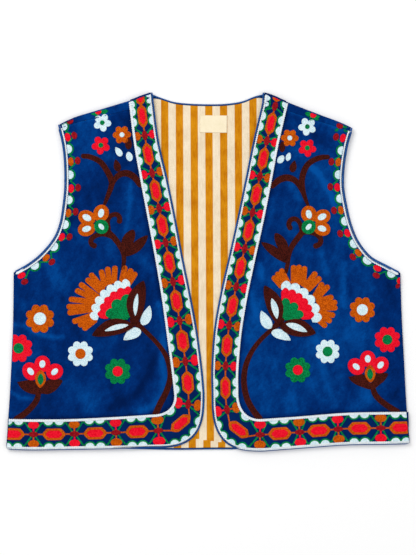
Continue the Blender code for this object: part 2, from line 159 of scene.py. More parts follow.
FRONT_EDGE = (
    EdgeRow(0.2447, -0.0785, 0.0356, 0.0785, 0.0365), EdgeRow(0.19, -0.0712, 0.0362, 0.0655, 0.037),
    EdgeRow(0.135, -0.0586, 0.039, 0.0543, 0.0378), EdgeRow(0.08, -0.0473, 0.0398, 0.0429, 0.0382),
    EdgeRow(0.025, -0.0369, 0.04, 0.0307, 0.0384), EdgeRow(-0.03, -0.0257, 0.042, 0.0181, 0.0395),
    EdgeRow(-0.085, -0.0155, 0.0446, 0.0085, 0.0402), EdgeRow(-0.14, -0.0082, 0.0446, 0.0048, 0.0392),
    EdgeRow(-0.176, -0.005, 0.0438, 0.0052, 0.0386),
)
FRONT_HEM = (
    EdgeRow(0.08, -0.2558, 0.0485, -0.2609, 0.0472), EdgeRow(0.135, -0.2574, 0.0466, -0.2567, 0.0468),
    EdgeRow(0.2, -0.2584, 0.0446, -0.252, 0.0472), EdgeRow(0.255, -0.2592, 0.045, -0.2512, 0.0476),
    EdgeRow(0.2932, -0.258, 0.0444, -0.2502, 0.0468),
)
# The back hem's distance from the middle and its level on each side
BACK_HEM = (
    (0.2932, -0.2574, -0.2498), (0.2, -0.2576, -0.2512), (0.13, -0.2572, -0.2562), (0.05, -0.2586, -0.2577),
    (0, -0.258, -0.258),
)
SIDE_SEAM = (
    Pair(-0.2932, -0.258, 0.2932, -0.2502), Pair(-0.29, -0.2128, 0.2887, -0.2026),
    Pair(-0.2871, -0.1678, 0.2839, -0.1171), Pair(-0.2832, -0.0808, 0.281, -0.06),
    Pair(-0.282, -0.0012, 0.2792, -0.0018),
)
ARMHOLE = (
    Pair(-0.282, -0.0012, 0.2792, -0.0018), Pair(-0.2603, 0.0112, 0.2585, 0.009),
    Pair(-0.2411, 0.0268, 0.2362, 0.0215), Pair(-0.2237, 0.0482, 0.2185, 0.043),
    Pair(-0.2148, 0.0695, 0.2078, 0.0678), Pair(-0.2106, 0.0932, 0.2008, 0.0964),
    Pair(-0.2077, 0.1222, 0.1965, 0.1251), Pair(-0.208, 0.157, 0.1976, 0.1535),
    Pair(-0.2108, 0.1841, 0.2022, 0.182), Pair(-0.216, 0.2068, 0.2078, 0.2024),
)
SHOULDER = {
    Side.LEFT: (
        ShoulderRow(-0.2173, 0.2119, -0.216, 0.2068), ShoulderRow(-0.1929, 0.2232, -0.1925, 0.2152),
        ShoulderRow(-0.1618, 0.2327, -0.1625, 0.2226), ShoulderRow(-0.1151, 0.2468, -0.115, 0.2345),
        ShoulderRow(-0.096, 0.254, -0.095, 0.241), ShoulderRow(-0.0802, 0.2592, -0.0785, 0.2447),
    ),
    Side.RIGHT: (
        ShoulderRow(0.2093, 0.2074, 0.2078, 0.2024), ShoulderRow(0.191, 0.216, 0.19, 0.209),
        ShoulderRow(0.161, 0.2272, 0.1595, 0.2182), ShoulderRow(0.1153, 0.245, 0.115, 0.2333),
        ShoulderRow(0.096, 0.2536, 0.0945, 0.241), ShoulderRow(0.0792, 0.2592, 0.0785, 0.2447),
    ),
}
BACK_NECK = (
    (-0.069, 0.2526), (-0.0493, 0.2464), (-0.025, 0.2438), (0.003, 0.243), (0.028, 0.2438),
    (0.0506, 0.2475), (0.0685, 0.2545),
)
FOLDS = {
    Side.LEFT: (
        Fold(-0.095, -0.15, 62, 0.06, 0.02, 0.002), Fold(-0.15, -0.01, 84, 0.09, 0.024, 0.0014),
        Fold(-0.235, -0.12, -24, 0.05, 0.018, 0.0013), Fold(-0.165, 0.135, 70, 0.05, 0.022, 0.0012),
        Fold(-0.2, -0.185, 12, 0.06, 0.02, 0.0011),
    ),
    Side.RIGHT: (
        Fold(0.156, 0.125, -58, 0.06, 0.019, 0.002), Fold(0.19, -0.03, 88, 0.09, 0.022, 0.0014),
        Fold(0.135, -0.155, -62, 0.06, 0.02, 0.0016), Fold(0.24, -0.135, 20, 0.045, 0.018, 0.0012),
        Fold(0.09, 0.05, 84, 0.06, 0.02, 0.001),
    ),
}
# Narrower creases and dents, which the frame's solids leave out
CREASES = {
    Side.LEFT: (
        Fold(-0.256, -0.085, -22, 0.03, 0.005, 0.0009), Fold(-0.273, -0.18, -22, 0.018, 0.005, 0.0007),
        Fold(-0.117, 0.06, 80, 0.022, 0.006, 0.0008), Fold(-0.066, -0.145, 88, 0.04, 0.006, 0.0009),
        Fold(-0.18, 0.19, 60, 0.024, 0.006, 0.0006),
    ),
    Side.RIGHT: (
        Fold(0.168, 0.127, -58, 0.032, 0.005, 0.0011), Fold(0.193, -0.012, -80, 0.024, 0.006, 0.0008),
        Fold(0.262, -0.07, 24, 0.024, 0.005, 0.0008), Fold(0.076, -0.15, 84, 0.04, 0.006, 0.0008),
        Fold(0.162, 0.193, -66, 0.022, 0.006, 0.0006),
    ),
}

# The tuck across the lining above its hem
TUCK_LEVEL = -0.2455
TUCK_MIDDLE = 0.005
TUCK_SLOPE = 0.14


class Stroke(NamedTuple):
    """A way along which the velvet's pile lies lighter, above 0, or darker, with its width; those along
    creases and shoulder seams are painted highlights.
    """

    tone: float
    width: float
    path: tuple[tuple[float, float], ...]


# Places on the fronts are given in steps of PIXEL from the upper left corner of the camera's view
LEFT_NAP_AND_PAINTED_LIGHT = (
    Stroke(0.5, 15, ((80, 131), (88, 152))), Stroke(0.4, 6, ((104, 154), (106, 156))),
    Stroke(0.65, 3, ((131, 184), (130, 200), (128, 224), (125, 236))),
    Stroke(0.5, 5, ((74, 228), (86, 244))), Stroke(0.5, 9, ((44, 262), (64, 284))),
    Stroke(0.5, 6, ((140, 258), (152, 268))),
    # Painted highlights along two creases by the left side: the stroke below and the first one on the next
    # line
    Stroke(0.8, 2.6, ((15, 324), (26, 326), (38, 333), (50, 337), (64, 337))),
    Stroke(0.7, 2.4, ((12, 392), (20, 397), (33, 399))), Stroke(0.5, 3, ((33, 356), (40, 352))),
    Stroke(1, 5, ((160, 304), (166, 328), (162, 364), (166, 378), (162, 394), (154, 406), (140, 412))),
    Stroke(-0.7, 5, ((156, 354), (140, 392), (112, 408))), Stroke(0.4, 14, ((68, 386), (98, 402))),
    Stroke(-0.6, 6, ((120, 118), (128, 122))), Stroke(-0.4, 12, ((60, 172), (66, 230))),
    # Painted highlight along the left shoulder seam
    Stroke(0.7, 1.8, ((66, 125.6), (90, 119), (128, 107.6))),
)
RIGHT_NAP_AND_PAINTED_LIGHT = (
    # Painted highlight along the diagonal ridge high on the right front
    Stroke(1.2, 3.4, ((310, 166), (320, 176), (328, 190), (335, 206))),
    Stroke(0.5, 5, ((296, 152), (300, 156))), Stroke(0.6, 4, ((292, 186), (299, 200))),
    Stroke(0.4, 5, ((288, 230), (292, 234))), Stroke(0.8, 3, ((260, 264), (262, 278))),
    Stroke(0.6, 4, ((344, 264), (342, 304))), Stroke(0.6, 4, ((320, 254), (326, 272))),
    Stroke(0.6, 3, ((251, 292), (256, 314))), Stroke(0.35, 9, ((356, 326), (360, 344))),
    Stroke(0.55, 4, ((316, 336), (324, 376), (328, 388), (336, 404))),
    Stroke(0.35, 4, ((292, 392), (294, 408))), Stroke(0.5, 8, ((364, 394), (368, 398))),
    Stroke(-0.7, 7, ((316, 136), (326, 146))), Stroke(-0.5, 11, ((388, 288), (388, 320))),
    # The last stroke below is a painted highlight along the right shoulder seam
    Stroke(-0.5, 9, ((394, 394), (400, 404))), Stroke(0.7, 1.8, ((288, 111.6), (316, 120), (346, 131.4))),
)
NAP_AND_PAINTED_LIGHT = {Side.LEFT: LEFT_NAP_AND_PAINTED_LIGHT, Side.RIGHT: RIGHT_NAP_AND_PAINTED_LIGHT}
PIXEL = 0.0014525
VIEW_MIDDLE = (208.0, 271.7)
Line = Sequence[Vector]
Piece = bpy.types.Object
Place = Callable[[int, int], Vector]
Shader = bpy.types.ShaderNode


def at(x: float, y: float) -> Vector:
    """The place on the vest of a place in the camera's view."""
    return Vector(((x - VIEW_MIDDLE[0]) * PIXEL, (VIEW_MIDDLE[1] - y) * PIXEL))


def heading(degrees: float) -> Vector:
    """The unit vector of a way in degrees from +X."""
    return Vector((math.cos(math.radians(degrees)), math.sin(math.radians(degrees))))


def span(points: Line) -> float:
    """The length of a line in the plane."""
    return sum((b.xy - a.xy).length for a, b in zip(points, points[1:]))


def ease(t: float) -> float:
    """A smooth step from 0 to 1 as t goes from 0 to 1."""
    t = min(1.0, max(0.0, t))
    return t * t * (3 - 2 * t)


def even(points: Line, count: int) -> list[Vector]:
    """Spreads points evenly along a line.

    Args:
        points: the line, whose first two numbers are x and y.
        count: the number of steps.

    Returns:
        count + 1 points at equal steps in the plane.
    """
    lengths = [0.0]
    for a, b in zip(points, points[1:]):
        lengths.append(lengths[-1] + math.hypot(b[0] - a[0], b[1] - a[1]))
    found = []
    k = 0
    for i in range(count + 1):
        reach = lengths[-1] * i / count
        while k < len(points) - 2 and lengths[k + 1] < reach:
            k += 1
        share = (reach - lengths[k]) / max(lengths[k + 1] - lengths[k], 1e-9)
        found.append(points[k].lerp(points[k + 1], share))
    return found


def spline(points: Line, count: int, dense: int = 24) -> list[Vector]:
    """Draws a smooth curve through points.

    Args:
        points: the points that the curve passes.
        count: the number of steps of the result.
        dense: the steps between two given points before the result is spread evenly.

    Returns:
        count + 1 points at equal steps along the curve.
    """
    chain = [2 * points[0] - points[1], *points, 2 * points[-1] - points[-2]]
    fine = []
    for a, b, c, d in zip(chain, chain[1:], chain[2:], chain[3:]):
        for k in range(dense):
            t = k / dense
            bend = (2 * a - 5 * b + 4 * c - d) * t**2 + (3 * b - a - 3 * c + d) * t**3
            fine.append(0.5 * (2 * b + (c - a) * t + bend))
    fine.append(points[-1])
    return even(fine, count)


def normals(points: Line) -> list[Vector]:
    """The unit vectors to the right of a line of points, in the plane, as seen along it."""
    found = []
    for i in range(len(points)):
        before, after = points[max(i - 1, 0)], points[min(i + 1, len(points) - 1)]
        along = Vector((after[0] - before[0], after[1] - before[1])).normalized()
        found.append(Vector((along.y, -along.x)))
    return found


def offset(points: Line, distance: float) -> list[Vector]:
    """The line moved to its right by a distance."""
    return [p.xy + n * distance for p, n in zip(points, normals(points))]


def crossing(points: Line, axis: int, value: float) -> Vector:
    """Finds where a line passes a value of its x or y.

    Args:
        points: the line.
        axis: 0 for x, 1 for y.
        value: the value.

    Returns:
        the first such spot, or else the end that comes nearer to the value.
    """
    for a, b in zip(points, points[1:]):
        if min(a[axis], b[axis]) <= value <= max(a[axis], b[axis]):
            return a.lerp(b, (value - a[axis]) / (b[axis] - a[axis]))
    return min((points[0], points[-1]), key=lambda p: abs(p[axis] - value))


def distance_to(spot: Vector, a: Vector, b: Vector) -> float:
    """The distance from a spot to the straight line from a to b."""
    foot, share = intersect_point_line(spot, a, b)
    return (spot - foot.xy).length if 0 <= share <= 1 else min((spot - a).length, (spot - b).length)


class Rail:
    """A line of evenly spaced points that runs on straight beyond its ends."""

    def __init__(self, points: Line, side: Side, step: float = 0.001) -> None:
        """Spreads the points and finds the ways into the cloth of a front."""
        length = span(points)
        count = round(length / step)
        self.points = even(points, count)
        self.step = length / count
        self.ways = [n * -side.sign for n in normals(self.points)]

    def point(self, s: float) -> Vector:
        """The point at a distance along the line, with its third number if it has one."""
        k = min(max(int(s // self.step), 0), len(self.points) - 2)
        return self.points[k] + (self.points[k + 1] - self.points[k]) * (s / self.step - k)

    def spot(self, s: float, w: float = 0.0) -> Vector:
        """The place at a distance along the line and a distance into the cloth from it."""
        k = min(max(round(s / self.step), 0), len(self.points) - 1)
        return self.point(s).xy + self.ways[k] * w

    def nearest(self, target: Vector) -> float:
        """The distance along the line that lies nearest to a place."""
        k = min(range(len(self.points)), key=lambda i: (self.points[i].xy - target).length_squared)
        return k * self.step + (target - self.points[k].xy).dot(self.way(k * self.step))

    def way(self, s: float) -> Vector:
        """The unit vector along the line."""
        return (self.point(s + 2 * self.step).xy - self.point(s - 2 * self.step).xy).normalized()

    def turn(self, s: float) -> float:
        """The way of the line in degrees from +X."""
        way = self.way(s)
        return math.degrees(math.atan2(way.y, way.x))


def rounded_corner(start: Vector, end: Vector, power: float) -> list[Vector]:
    """Draws the quarter of a squared ellipse that leaves start straight down and meets end level.

    Args:
        start: its upper end.
        end: its lower end.
        power: 2 for an ellipse; the corner is squarer above that.

    Returns:
        BAND_CORNER + 1 points at equal steps.
    """
    found = []
    fine = 4 * BAND_CORNER
    for k in range(fine + 1):
        angle = math.pi / 2 * k / fine
        x = end.x + (start.x - end.x) * max(math.cos(angle), 0) ** (2 / power)
        y = start.y + (end.y - start.y) * math.sin(angle) ** (2 / power)
        found.append(Vector((x, y)))
    return even(found, BAND_CORNER)


def patch(bottom: Line, top: Line, left: Line,
          right: Line) -> Place:
    """Spreads points over a four-sided patch.

    Args:
        bottom: the edge line of the first row.
        top: that of the last row.
        left: the edge line of the first column.
        right: that of the last column.

    Returns:
        the function that gives the spot of a column and row.
    """
    columns, rows = len(bottom) - 1, len(left) - 1

    def place(i: int, j: int) -> Vector:
        """The spot of a column and row."""
        u, v = i / columns, j / rows
        sides = bottom[i] * (1 - v) + top[i] * v + left[j] * (1 - u) + right[j] * u
        low = bottom[0] * (1 - u) + bottom[-1] * u
        high = top[0] * (1 - u) + top[-1] * u
        return sides - low * (1 - v) - high * v

    return place


def fold_height(folds: Iterable[Fold], x: float, y: float) -> float:
    """How high folds stand at a point."""
    height = 0.0
    for fold in folds:
        way = heading(fold.direction)
        away = Vector((x - fold.x, y - fold.y))
        along, across = away.dot(way), away.cross(way)
        height += fold.height * math.exp(-(along / fold.length) ** 2 - (across / fold.width) ** 2)
    return height


@dataclass
class Cut:
    """The outline of one front: its edge, its band's inner line, its outer line and its shoulder."""

    side: Side
    outer: list[Vector] = field(init=False)
    inner: list[Vector] = field(init=False)
    line: list[Vector] = field(init=False)
    ways: list[Vector] = field(init=False)
    fold: list[Vector] = field(init=False)
    seam: list[Vector] = field(init=False)

    def __post_init__(self) -> None:
        """Draws the lines from the tables."""
        self._draw_rails()
        self._draw_outer_line()
        self._draw_shoulder()

    def _draw_rails(self) -> None:
        """The matched points of the front's edge and of its band's inner edge, from seam to side."""
        name, band = self.side.value, self.side.value + "_band"
        rows = [Vector((getattr(r, name), r.place, getattr(r, band))) for r in FRONT_EDGE]
        down = spline(rows, BAND_DOWN)
        rows = [Vector((self.side.sign * r.place, getattr(r, name), getattr(r, band))) for r in FRONT_HEM]
        along = spline(rows, BAND_ALONG)
        turn = -self.side.sign
        inner_down = [p.xy + n * p.z * turn for p, n in zip(down, normals(down))]
        inner_along = [p.xy + n * p.z * turn for p, n in zip(along, normals(along))]
        corner = rounded_corner(down[-1].xy, along[0].xy, CORNER_POWER)
        inner_corner = rounded_corner(inner_down[-1], inner_along[0], INNER_CORNER_POWER)
        self.outer = [p.xy for p in down] + corner[1:-1] + [p.xy for p in along]
        self.inner = inner_down + inner_corner[1:-1] + inner_along

    def _draw_outer_line(self) -> None:
        """The side seam and the armhole as one line from hem to shoulder seam, and the ways out of it."""
        def pick(table: Sequence[Pair]) -> list[Vector]:
            """This side's points of a table."""
            name = self.side.value
            return [Vector((getattr(r, name + "_x"), getattr(r, name + "_y"))) for r in table]
        self.line = spline(pick(SIDE_SEAM), SIDE_ROWS) + spline(pick(ARMHOLE), ARMHOLE_ROWS)[1:]
        self.ways = [n * self.side.sign for n in normals(self.line)]

    def _draw_shoulder(self) -> None:
        """The shoulder's fold and seam, from armhole to neck, without the bound strip at each end."""
        found = []
        fine = 200
        for a, b in (("fold_x", "fold_y"), ("seam_x", "seam_y")):
            line = spline([Vector((getattr(r, a), getattr(r, b))) for r in SHOULDER[self.side]], fine)
            first = round(fine * BINDING_INSET / span(line))
            found.append(even(line[first:fine - first + 1], SHOULDER_COLUMNS))
        self.fold, self.seam = found

    def inset_edge(self, distance: float) -> list[Vector]:
        """The front's edge and hem, moved into the cloth."""
        return offset(self.outer, distance * -self.side.sign)

    def over_shoulder(self, column: int, step: int) -> tuple[Vector, Vector]:
        """The back's cloth over the shoulder.

        Args:
            column: 0 at the armhole, SHOULDER_COLUMNS at the neck.
            step: 0 where the cloth leaves the ground, TURN_STEPS + 2 at the seam.

        Returns:
            the middle of the wall and the way out of it.
        """
        way = (self.fold[column] - self.seam[column]).normalized()
        if step <= TURN_STEPS:
            angle = math.pi * step / TURN_STEPS
            spot = self.fold[column] + way * SHOULDER_RADIUS * (math.sin(angle) - 1)
            height = BACK_HEIGHT + SHOULDER_RADIUS * (1 - math.cos(angle))
            return Vector((*spot, height)), Vector((*(way * math.sin(angle)), -math.cos(angle)))
        start = self.fold[column] - way * SHOULDER_RADIUS
        spot = start.lerp(self.seam[column] + way * GAP, (step - TURN_STEPS) / 2)
        return Vector((*spot, SEAM_HEIGHT)), Vector((0, 0, 1))


def operator(operation: str, reflected: bool = False) -> Callable[["Socket", object], "Socket"]:
    """An operator between shader values, which adds a math node."""
    def result(self: "Socket", other: object) -> "Socket":
        """The result."""
        return self.apply(operation, other) if not reflected else self.swapped(operation, other)
    return result


class Socket:
    """A shader value that can be used in sums."""

    __add__, __radd__ = operator("ADD"), operator("ADD", True)
    __sub__, __rsub__ = operator("SUBTRACT"), operator("SUBTRACT", True)
    __mul__, __rmul__ = operator("MULTIPLY"), operator("MULTIPLY", True)
    __truediv__ = operator("DIVIDE")

    def __init__(self, tree: bpy.types.NodeTree, link: object) -> None:
        """Wraps an output socket or a plain number of a node tree."""
        self.tree = tree
        self.link = link

    def node(self, kind: str, inputs: dict, output: object = 0, **settings: object) -> "Socket":
        """Adds a node.

        Args:
            kind: the node's type.
            inputs: what goes into its inputs, by name or number.
            output: the name or number of the output to return.
            settings: its other properties.

        Returns:
            the wrapped output.
        """
        made = self.tree.nodes.new(kind)
        for key, value in settings.items():
            setattr(made, key, value)
        for key, value in inputs.items():
            if isinstance(value, Socket):
                value = value.link
            if isinstance(value, bpy.types.NodeSocket):
                self.tree.links.new(value, made.inputs[key])
            else:
                made.inputs[key].default_value = value
        return Socket(self.tree, made.outputs[output])

    def apply(self, operation: str, *others: object) -> "Socket":
        """A math node whose first value is this one."""
        return self.node("ShaderNodeMath", dict(enumerate((self, *others))), operation=operation)

    def swapped(self, operation: str, other: object) -> "Socket":
        """A math node whose second value is this one."""
        return self.node("ShaderNodeMath", {0: other, 1: self}, operation=operation)

    def split(self) -> tuple["Socket", "Socket", "Socket"]:
        """The three parts of a vector."""
        made = self.tree.nodes.new("ShaderNodeSeparateXYZ")
        self.tree.links.new(self.link, made.inputs[0])
        return tuple(Socket(self.tree, made.outputs[k]) for k in range(3))

    def band(self, low: float, high: float) -> "Socket":
        """0 below low, 1 above high and smooth between."""
        inputs = {"Value": self, "From Min": low, "From Max": high}
        return self.node("ShaderNodeMapRange", inputs, interpolation_type="SMOOTHSTEP")

    def mix(self, a: object, b: object) -> "Socket":
        """A colour between a, where this value is 0, and b, where it is 1."""
        return self.node("ShaderNodeMix", {0: self, 6: a, 7: b}, 2, data_type="RGBA")

    def noise(self, scale: float, detail: float = 2.0, roughness: float = 0.5) -> "Socket":
        """Noise at this place."""
        inputs = {"Vector": self, "Scale": scale, "Detail": detail, "Roughness": roughness}
        return self.node("ShaderNodeTexNoise", inputs)

    def stretched(self, scale: Sequence[float], turn: float = 0.0) -> "Socket":
        """This place, turned about Z and then scaled."""
        turned = self.node("ShaderNodeMapping", {"Vector": self, "Rotation": (0, 0, turn)})
        return turned.node("ShaderNodeMapping", {"Vector": turned, "Scale": tuple(scale)})

    def feed(self, shader: Shader, name: str) -> None:
        """Links this value to an input of the shader."""
        self.tree.links.new(self.link, shader.inputs[name])

    def emboss(self, shader: Shader, depth: float) -> None:
        """Gives the shader a relief of a depth in metres, whose height is this value."""
        bumped = self.node("ShaderNodeBump", {"Height": self, "Distance": depth, "Strength": 1.0})
        bumped.feed(shader, "Normal")


def linear(red: float, green: float, blue: float) -> tuple[float, float, float, float]:
    """The linear colour of display values from 0 to 255."""
    def one(value: float) -> float:
        """One channel."""
        share = value / 255
        return share / 12.92 if share <= 0.04045 else ((share + 0.055) / 1.055) ** 2.4
    return one(red), one(green), one(blue), 1.0


class Finish:
    """A finish of cloth or thread, made into a material once."""

    name: str

    def material(self) -> bpy.types.Material:
        """The material, which is made when it is first asked for."""
        found = bpy.data.materials.get(self.name)
        if found:
            return found
        made = bpy.data.materials.new(self.name)
        made.use_nodes = True
        shader = made.node_tree.nodes["Principled BSDF"]
        place = made.node_tree.nodes.new("ShaderNodeTexCoord")
        self.dress(shader, Socket(made.node_tree, place.outputs["Object"]))
        return made

    def dress(self, shader: Shader, place: Socket) -> None:
        """Fills in the shader, whose pattern follows the place on the piece."""
        raise NotImplementedError

    @staticmethod
    def settle(shader: Shader, roughness: float, specular: float, sheen: float = 0.0,
               sheen_roughness: float = 0.5) -> None:
        """Sets what is the same all over a shader."""
        for name, value in (("Roughness", roughness), ("Specular IOR Level", specular),
                            ("Sheen Weight", sheen), ("Sheen Roughness", sheen_roughness)):
            shader.inputs[name].default_value = value


@dataclass(frozen=True)
class Velvet(Finish):
    """Cotton velvet, with a pile that the hand has stroked darker and lighter, and on the fronts painted
    highlights and a painted shadow that come with their tone.
    """

    name: str
    dark: tuple
    middle: tuple
    light: tuple
    sheen: float = 0.03

    def dress(self, shader: Shader, place: Socket) -> None:
        """Fills in the shader."""
        broad = place.stretched((1.0, 0.45, 1.0), 0.2).noise(16.0, 3.0, 0.55)
        streak = place.stretched((1.0, 0.22, 1.0), -0.35).noise(60.0, 2.0, 0.5)
        fine = place.noise(420.0, 2.0, 0.6)
        grain = place.noise(2200.0, 1.0, 0.5)
        # The fronts' tone: the pile, painted highlights along creases and seams, and a painted shadow beside
        # the band
        tone_with_painted_light = place.node("ShaderNodeAttribute", {}, "Fac", attribute_name="nap_and_painted_light")
        patchy = place.stretched((1.0, 0.6, 1.0), 0.5).noise(95.0, 4.0, 0.7)
        nap_and_painted_light = broad * 0.36 + streak * 0.24 + patchy * 0.38 + fine * 0.16 + grain * 0.10 + tone_with_painted_light * 0.22
        lit = nap_and_painted_light.band(0.56, 0.90)
        shade = nap_and_painted_light.band(0.40, 0.64)
        lit.mix(shade.mix(self.dark, self.middle), self.light).feed(shader, "Base Color")
        self.settle(shader, 0.9, 0.02, self.sheen, 0.45)
        shader.inputs["Sheen Tint"].default_value = linear(70, 130, 215)
        (fine * 0.6 + grain).emboss(shader, 0.0003)


@dataclass(frozen=True)
class StripedLining(Finish):
    """Plain cotton with gold and cream stripes along Y, printed a little off the straight."""

    name: str
    pitch: float = 0.02135
    share: float = 0.5
    first: float = 0.0011
    drift: float = -0.0048
    tuck_shift: float = 0.005
    weave: float = 0.0009

    def dress(self, shader: Shader, place: Socket) -> None:
        """Fills in the shader."""
        x, y, _ = place.split()
        below = (y - TUCK_LEVEL + (x - TUCK_MIDDLE) * TUCK_SLOPE).band(0.0006, -0.0006)
        bent = x - self.first + (0.25 - y) * self.drift + below * self.tuck_shift
        cycle = (bent / self.pitch + 100.5).apply("FRACT")
        away = (cycle - 0.5).apply("ABSOLUTE")
        edge = 0.5 * self.share
        gold = away.band(edge + 0.015, edge - 0.015)
        warp = (x * 2 * math.pi / self.weave).apply("SINE")
        weft = (y * 2 * math.pi / self.weave).apply("SINE")
        cloud = place.noise(45.0, 3.0, 0.6)
        slub = place.stretched((1.0, 0.06, 1.0)).noise(1400.0, 2.0)
        tone = (cloud * 0.6 + slub * 0.6).band(0.35, 0.80)
        gold_tone = tone.mix(linear(184, 104, 2), linear(222, 148, 20))
        cream_tone = tone.mix(linear(226, 206, 174), linear(248, 232, 204))
        gold.mix(cream_tone, gold_tone).feed(shader, "Base Color")
        self.settle(shader, 0.9, 0.04)
        (warp * weft * 0.5 + slub).emboss(shader, 0.00012)


@dataclass(frozen=True)
class Thread(Finish):
    """Rows of cotton thread, with painted shade in the gaps between the stitches."""

    name: str
    colour: tuple
    deep: tuple
    sheen: float = 0.03

    def dress(self, shader: Shader, place: Socket) -> None:
        """Fills in the shader."""
        beads = place.node("ShaderNodeTexVoronoi", {"Vector": place, "Scale": 620.0})
        fibre = place.stretched((1.0, 0.5, 1.0), 0.7).noise(1800.0, 2.0)
        cloud = place.noise(90.0, 2.0)
        # The deep colour where the beads' cells meet is painted shade between the stitches; fibre and cloud
        # add random tone
        tone = beads * 0.9 + fibre * 0.35 + cloud * 0.35
        tone.band(0.42, 1.10).mix(self.colour, self.deep).feed(shader, "Base Color")
        self.settle(shader, 0.8, 0.05, self.sheen)
        (1 - beads + fibre * 0.3).emboss(shader, 0.0005)


@dataclass(frozen=True)
class Plain(Finish):
    """A plain fine cloth."""

    name: str
    colour: tuple
    deep: tuple
    roughness: float = 0.6
    grain: float = 900.0

    def dress(self, shader: Shader, place: Socket) -> None:
        """Fills in the shader."""
        cloud = place.noise(120.0, 2.0)
        weave = place.noise(self.grain, 1.0)
        tone = (cloud * 0.5 + weave * 0.5).band(0.3, 0.7)
        tone.mix(self.deep, self.colour).feed(shader, "Base Color")
        self.settle(shader, self.roughness, 0.2)
        weave.emboss(shader, 0.0001)


VELVET = Velvet("cotton velvet", linear(0, 26, 76), linear(0, 41, 106), linear(2, 76, 154))
# The border's velvet is darker than the fronts': partly a darker cloth, partly painted shade between the
# border's stitches
BAND_VELVET = Velvet("border velvet", linear(2, 26, 72), linear(3, 34, 88), linear(6, 44, 104), 0.04)
STRIPES = StripedLining("striped cotton")
HIDDEN_LINING = Plain("hidden cotton", linear(240, 228, 208), linear(226, 212, 190), 0.9)
BINDING = Plain("twill binding", linear(0, 80, 152), linear(0, 56, 116), 0.6)
LABEL = Plain("woven label", linear(250, 236, 206), linear(240, 226, 192), 0.7, 1400.0)
# Each thread's second colour is its deep tone, used for painted shade between the stitches and for random
# tone
WHITE = Thread("white thread", linear(242, 255, 255), linear(190, 222, 234))
BRAID = Thread("white braid", linear(255, 255, 255), linear(226, 240, 248))
ORANGE = Thread("orange thread", linear(226, 104, 8), linear(168, 68, 0))
RED = Thread("red thread", linear(252, 30, 54), linear(222, 0, 30))
DARK_RED = Thread("dark red thread", linear(176, 22, 32), linear(120, 8, 20))
GREEN = Thread("green thread", linear(0, 150, 82), linear(0, 98, 50))
BROWN = Thread("brown thread", linear(84, 26, 16), linear(48, 12, 8))


def new_object(name: str, mesh: bmesh.types.BMesh) -> Piece:
    """Puts an object into the scene that is made of a bmesh, which is used up."""
    data = bpy.data.meshes.new(name)
    mesh.to_mesh(data)
    mesh.free()
    made = bpy.data.objects.new(name, data)
    bpy.context.scene.collection.objects.link(made)
    return made


def finished_mesh(thing: Piece) -> bpy.types.Mesh:
    """The mesh of an object as its modifiers or its bevel leave it."""
    bpy.context.view_layer.update()
    return bpy.data.meshes.new_from_object(thing.evaluated_get(bpy.context.evaluated_depsgraph_get()))


def one_side(piece: Piece) -> float:
    """The area of one side of a piece of cloth."""
    return sum(f.area for f in piece.data.polygons) / 2


def cloth_piece(name: str, surface: bmesh.types.BMesh, thickness: float, finishes: Sequence[Finish],
                nodes: Sequence[str]) -> Piece:
    """Makes a piece of cloth out of an open surface.

    Args:
        name: the piece's name.
        surface: the middle of the wall, which is used up.
        thickness: the wall; 0 leaves the surface as it is.
        finishes: the finish of the outer face, and of the under face where there are two.
        nodes: the CAD nodes that it stands for.

    Returns:
        the piece, which rides on the root body.
    """
    piece = new_object(name, surface)
    data = piece.data
    for finish in finishes:
        data.materials.append(finish.material())
    data.shade_smooth()
    if thickness:
        wall = piece.modifiers.new("Thickness", "SOLIDIFY")
        wall.thickness = thickness
        wall.offset = 0
        wall.material_offset = len(finishes) - 1
        finished = finished_mesh(piece)
        piece.modifiers.clear()
        piece.data = finished
        finished.name = name
        bpy.data.meshes.remove(data)
    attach(piece, "root")
    if nodes:
        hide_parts(*nodes)
    LOG.info("%s: %d faces", name, len(piece.data.polygons))
    return piece


def grid(columns: int, rows: int, place: Place,
         keep: Optional[Callable[[float, float], bool]] = None) -> bmesh.types.BMesh:
    """Makes a grid whose points are put in place by a function.

    Args:
        columns: its cells across.
        rows: its cells up.
        place: the spot of a column and row.
        keep: whether there is a cell round a column and row; all cells are kept without it.

    Returns:
        the grid, facing up.
    """
    mesh = bmesh.new()
    bmesh.ops.create_grid(mesh, x_segments=columns, y_segments=rows, size=0.5)
    if keep:
        refused = []
        for face in mesh.faces:
            middle = face.calc_center_median()
            if not keep((middle.x + 0.5) * columns, (middle.y + 0.5) * rows):
                refused.append(face)
        bmesh.ops.delete(mesh, geom=refused, context="FACES")
    for vert in mesh.verts:
        vert.co = place(round((vert.co.x + 0.5) * columns), round((vert.co.y + 0.5) * rows))
    bmesh.ops.recalc_face_normals(mesh, faces=mesh.faces)
    middle = max(mesh.faces, key=lambda f: abs(f.normal.z) * f.calc_area())
    if middle.normal.z < 0:
        bmesh.ops.reverse_faces(mesh, faces=mesh.faces)
    return mesh


class Ground:
    """The top faces of pieces that are already laid, for what lies on them."""

    def __init__(self, *pieces: Piece) -> None:
        """Reads the faces of the pieces."""
        joined = bmesh.new()
        for piece in pieces:
            joined.from_mesh(piece.data)
        self.tree = BVHTree.FromBMesh(joined)
        joined.free()

    def height(self, x: float, y: float) -> float:
        """The height of the top face over a point, or of the nearest face beside it."""
        hit = self.tree.ray_cast(Vector((x, y, 1.0)), Vector((0, 0, -1)))[0]
        if hit is None:
            hit = self.tree.find_nearest(Vector((x, y, SEAM_HEIGHT)))[0]
        return hit.z


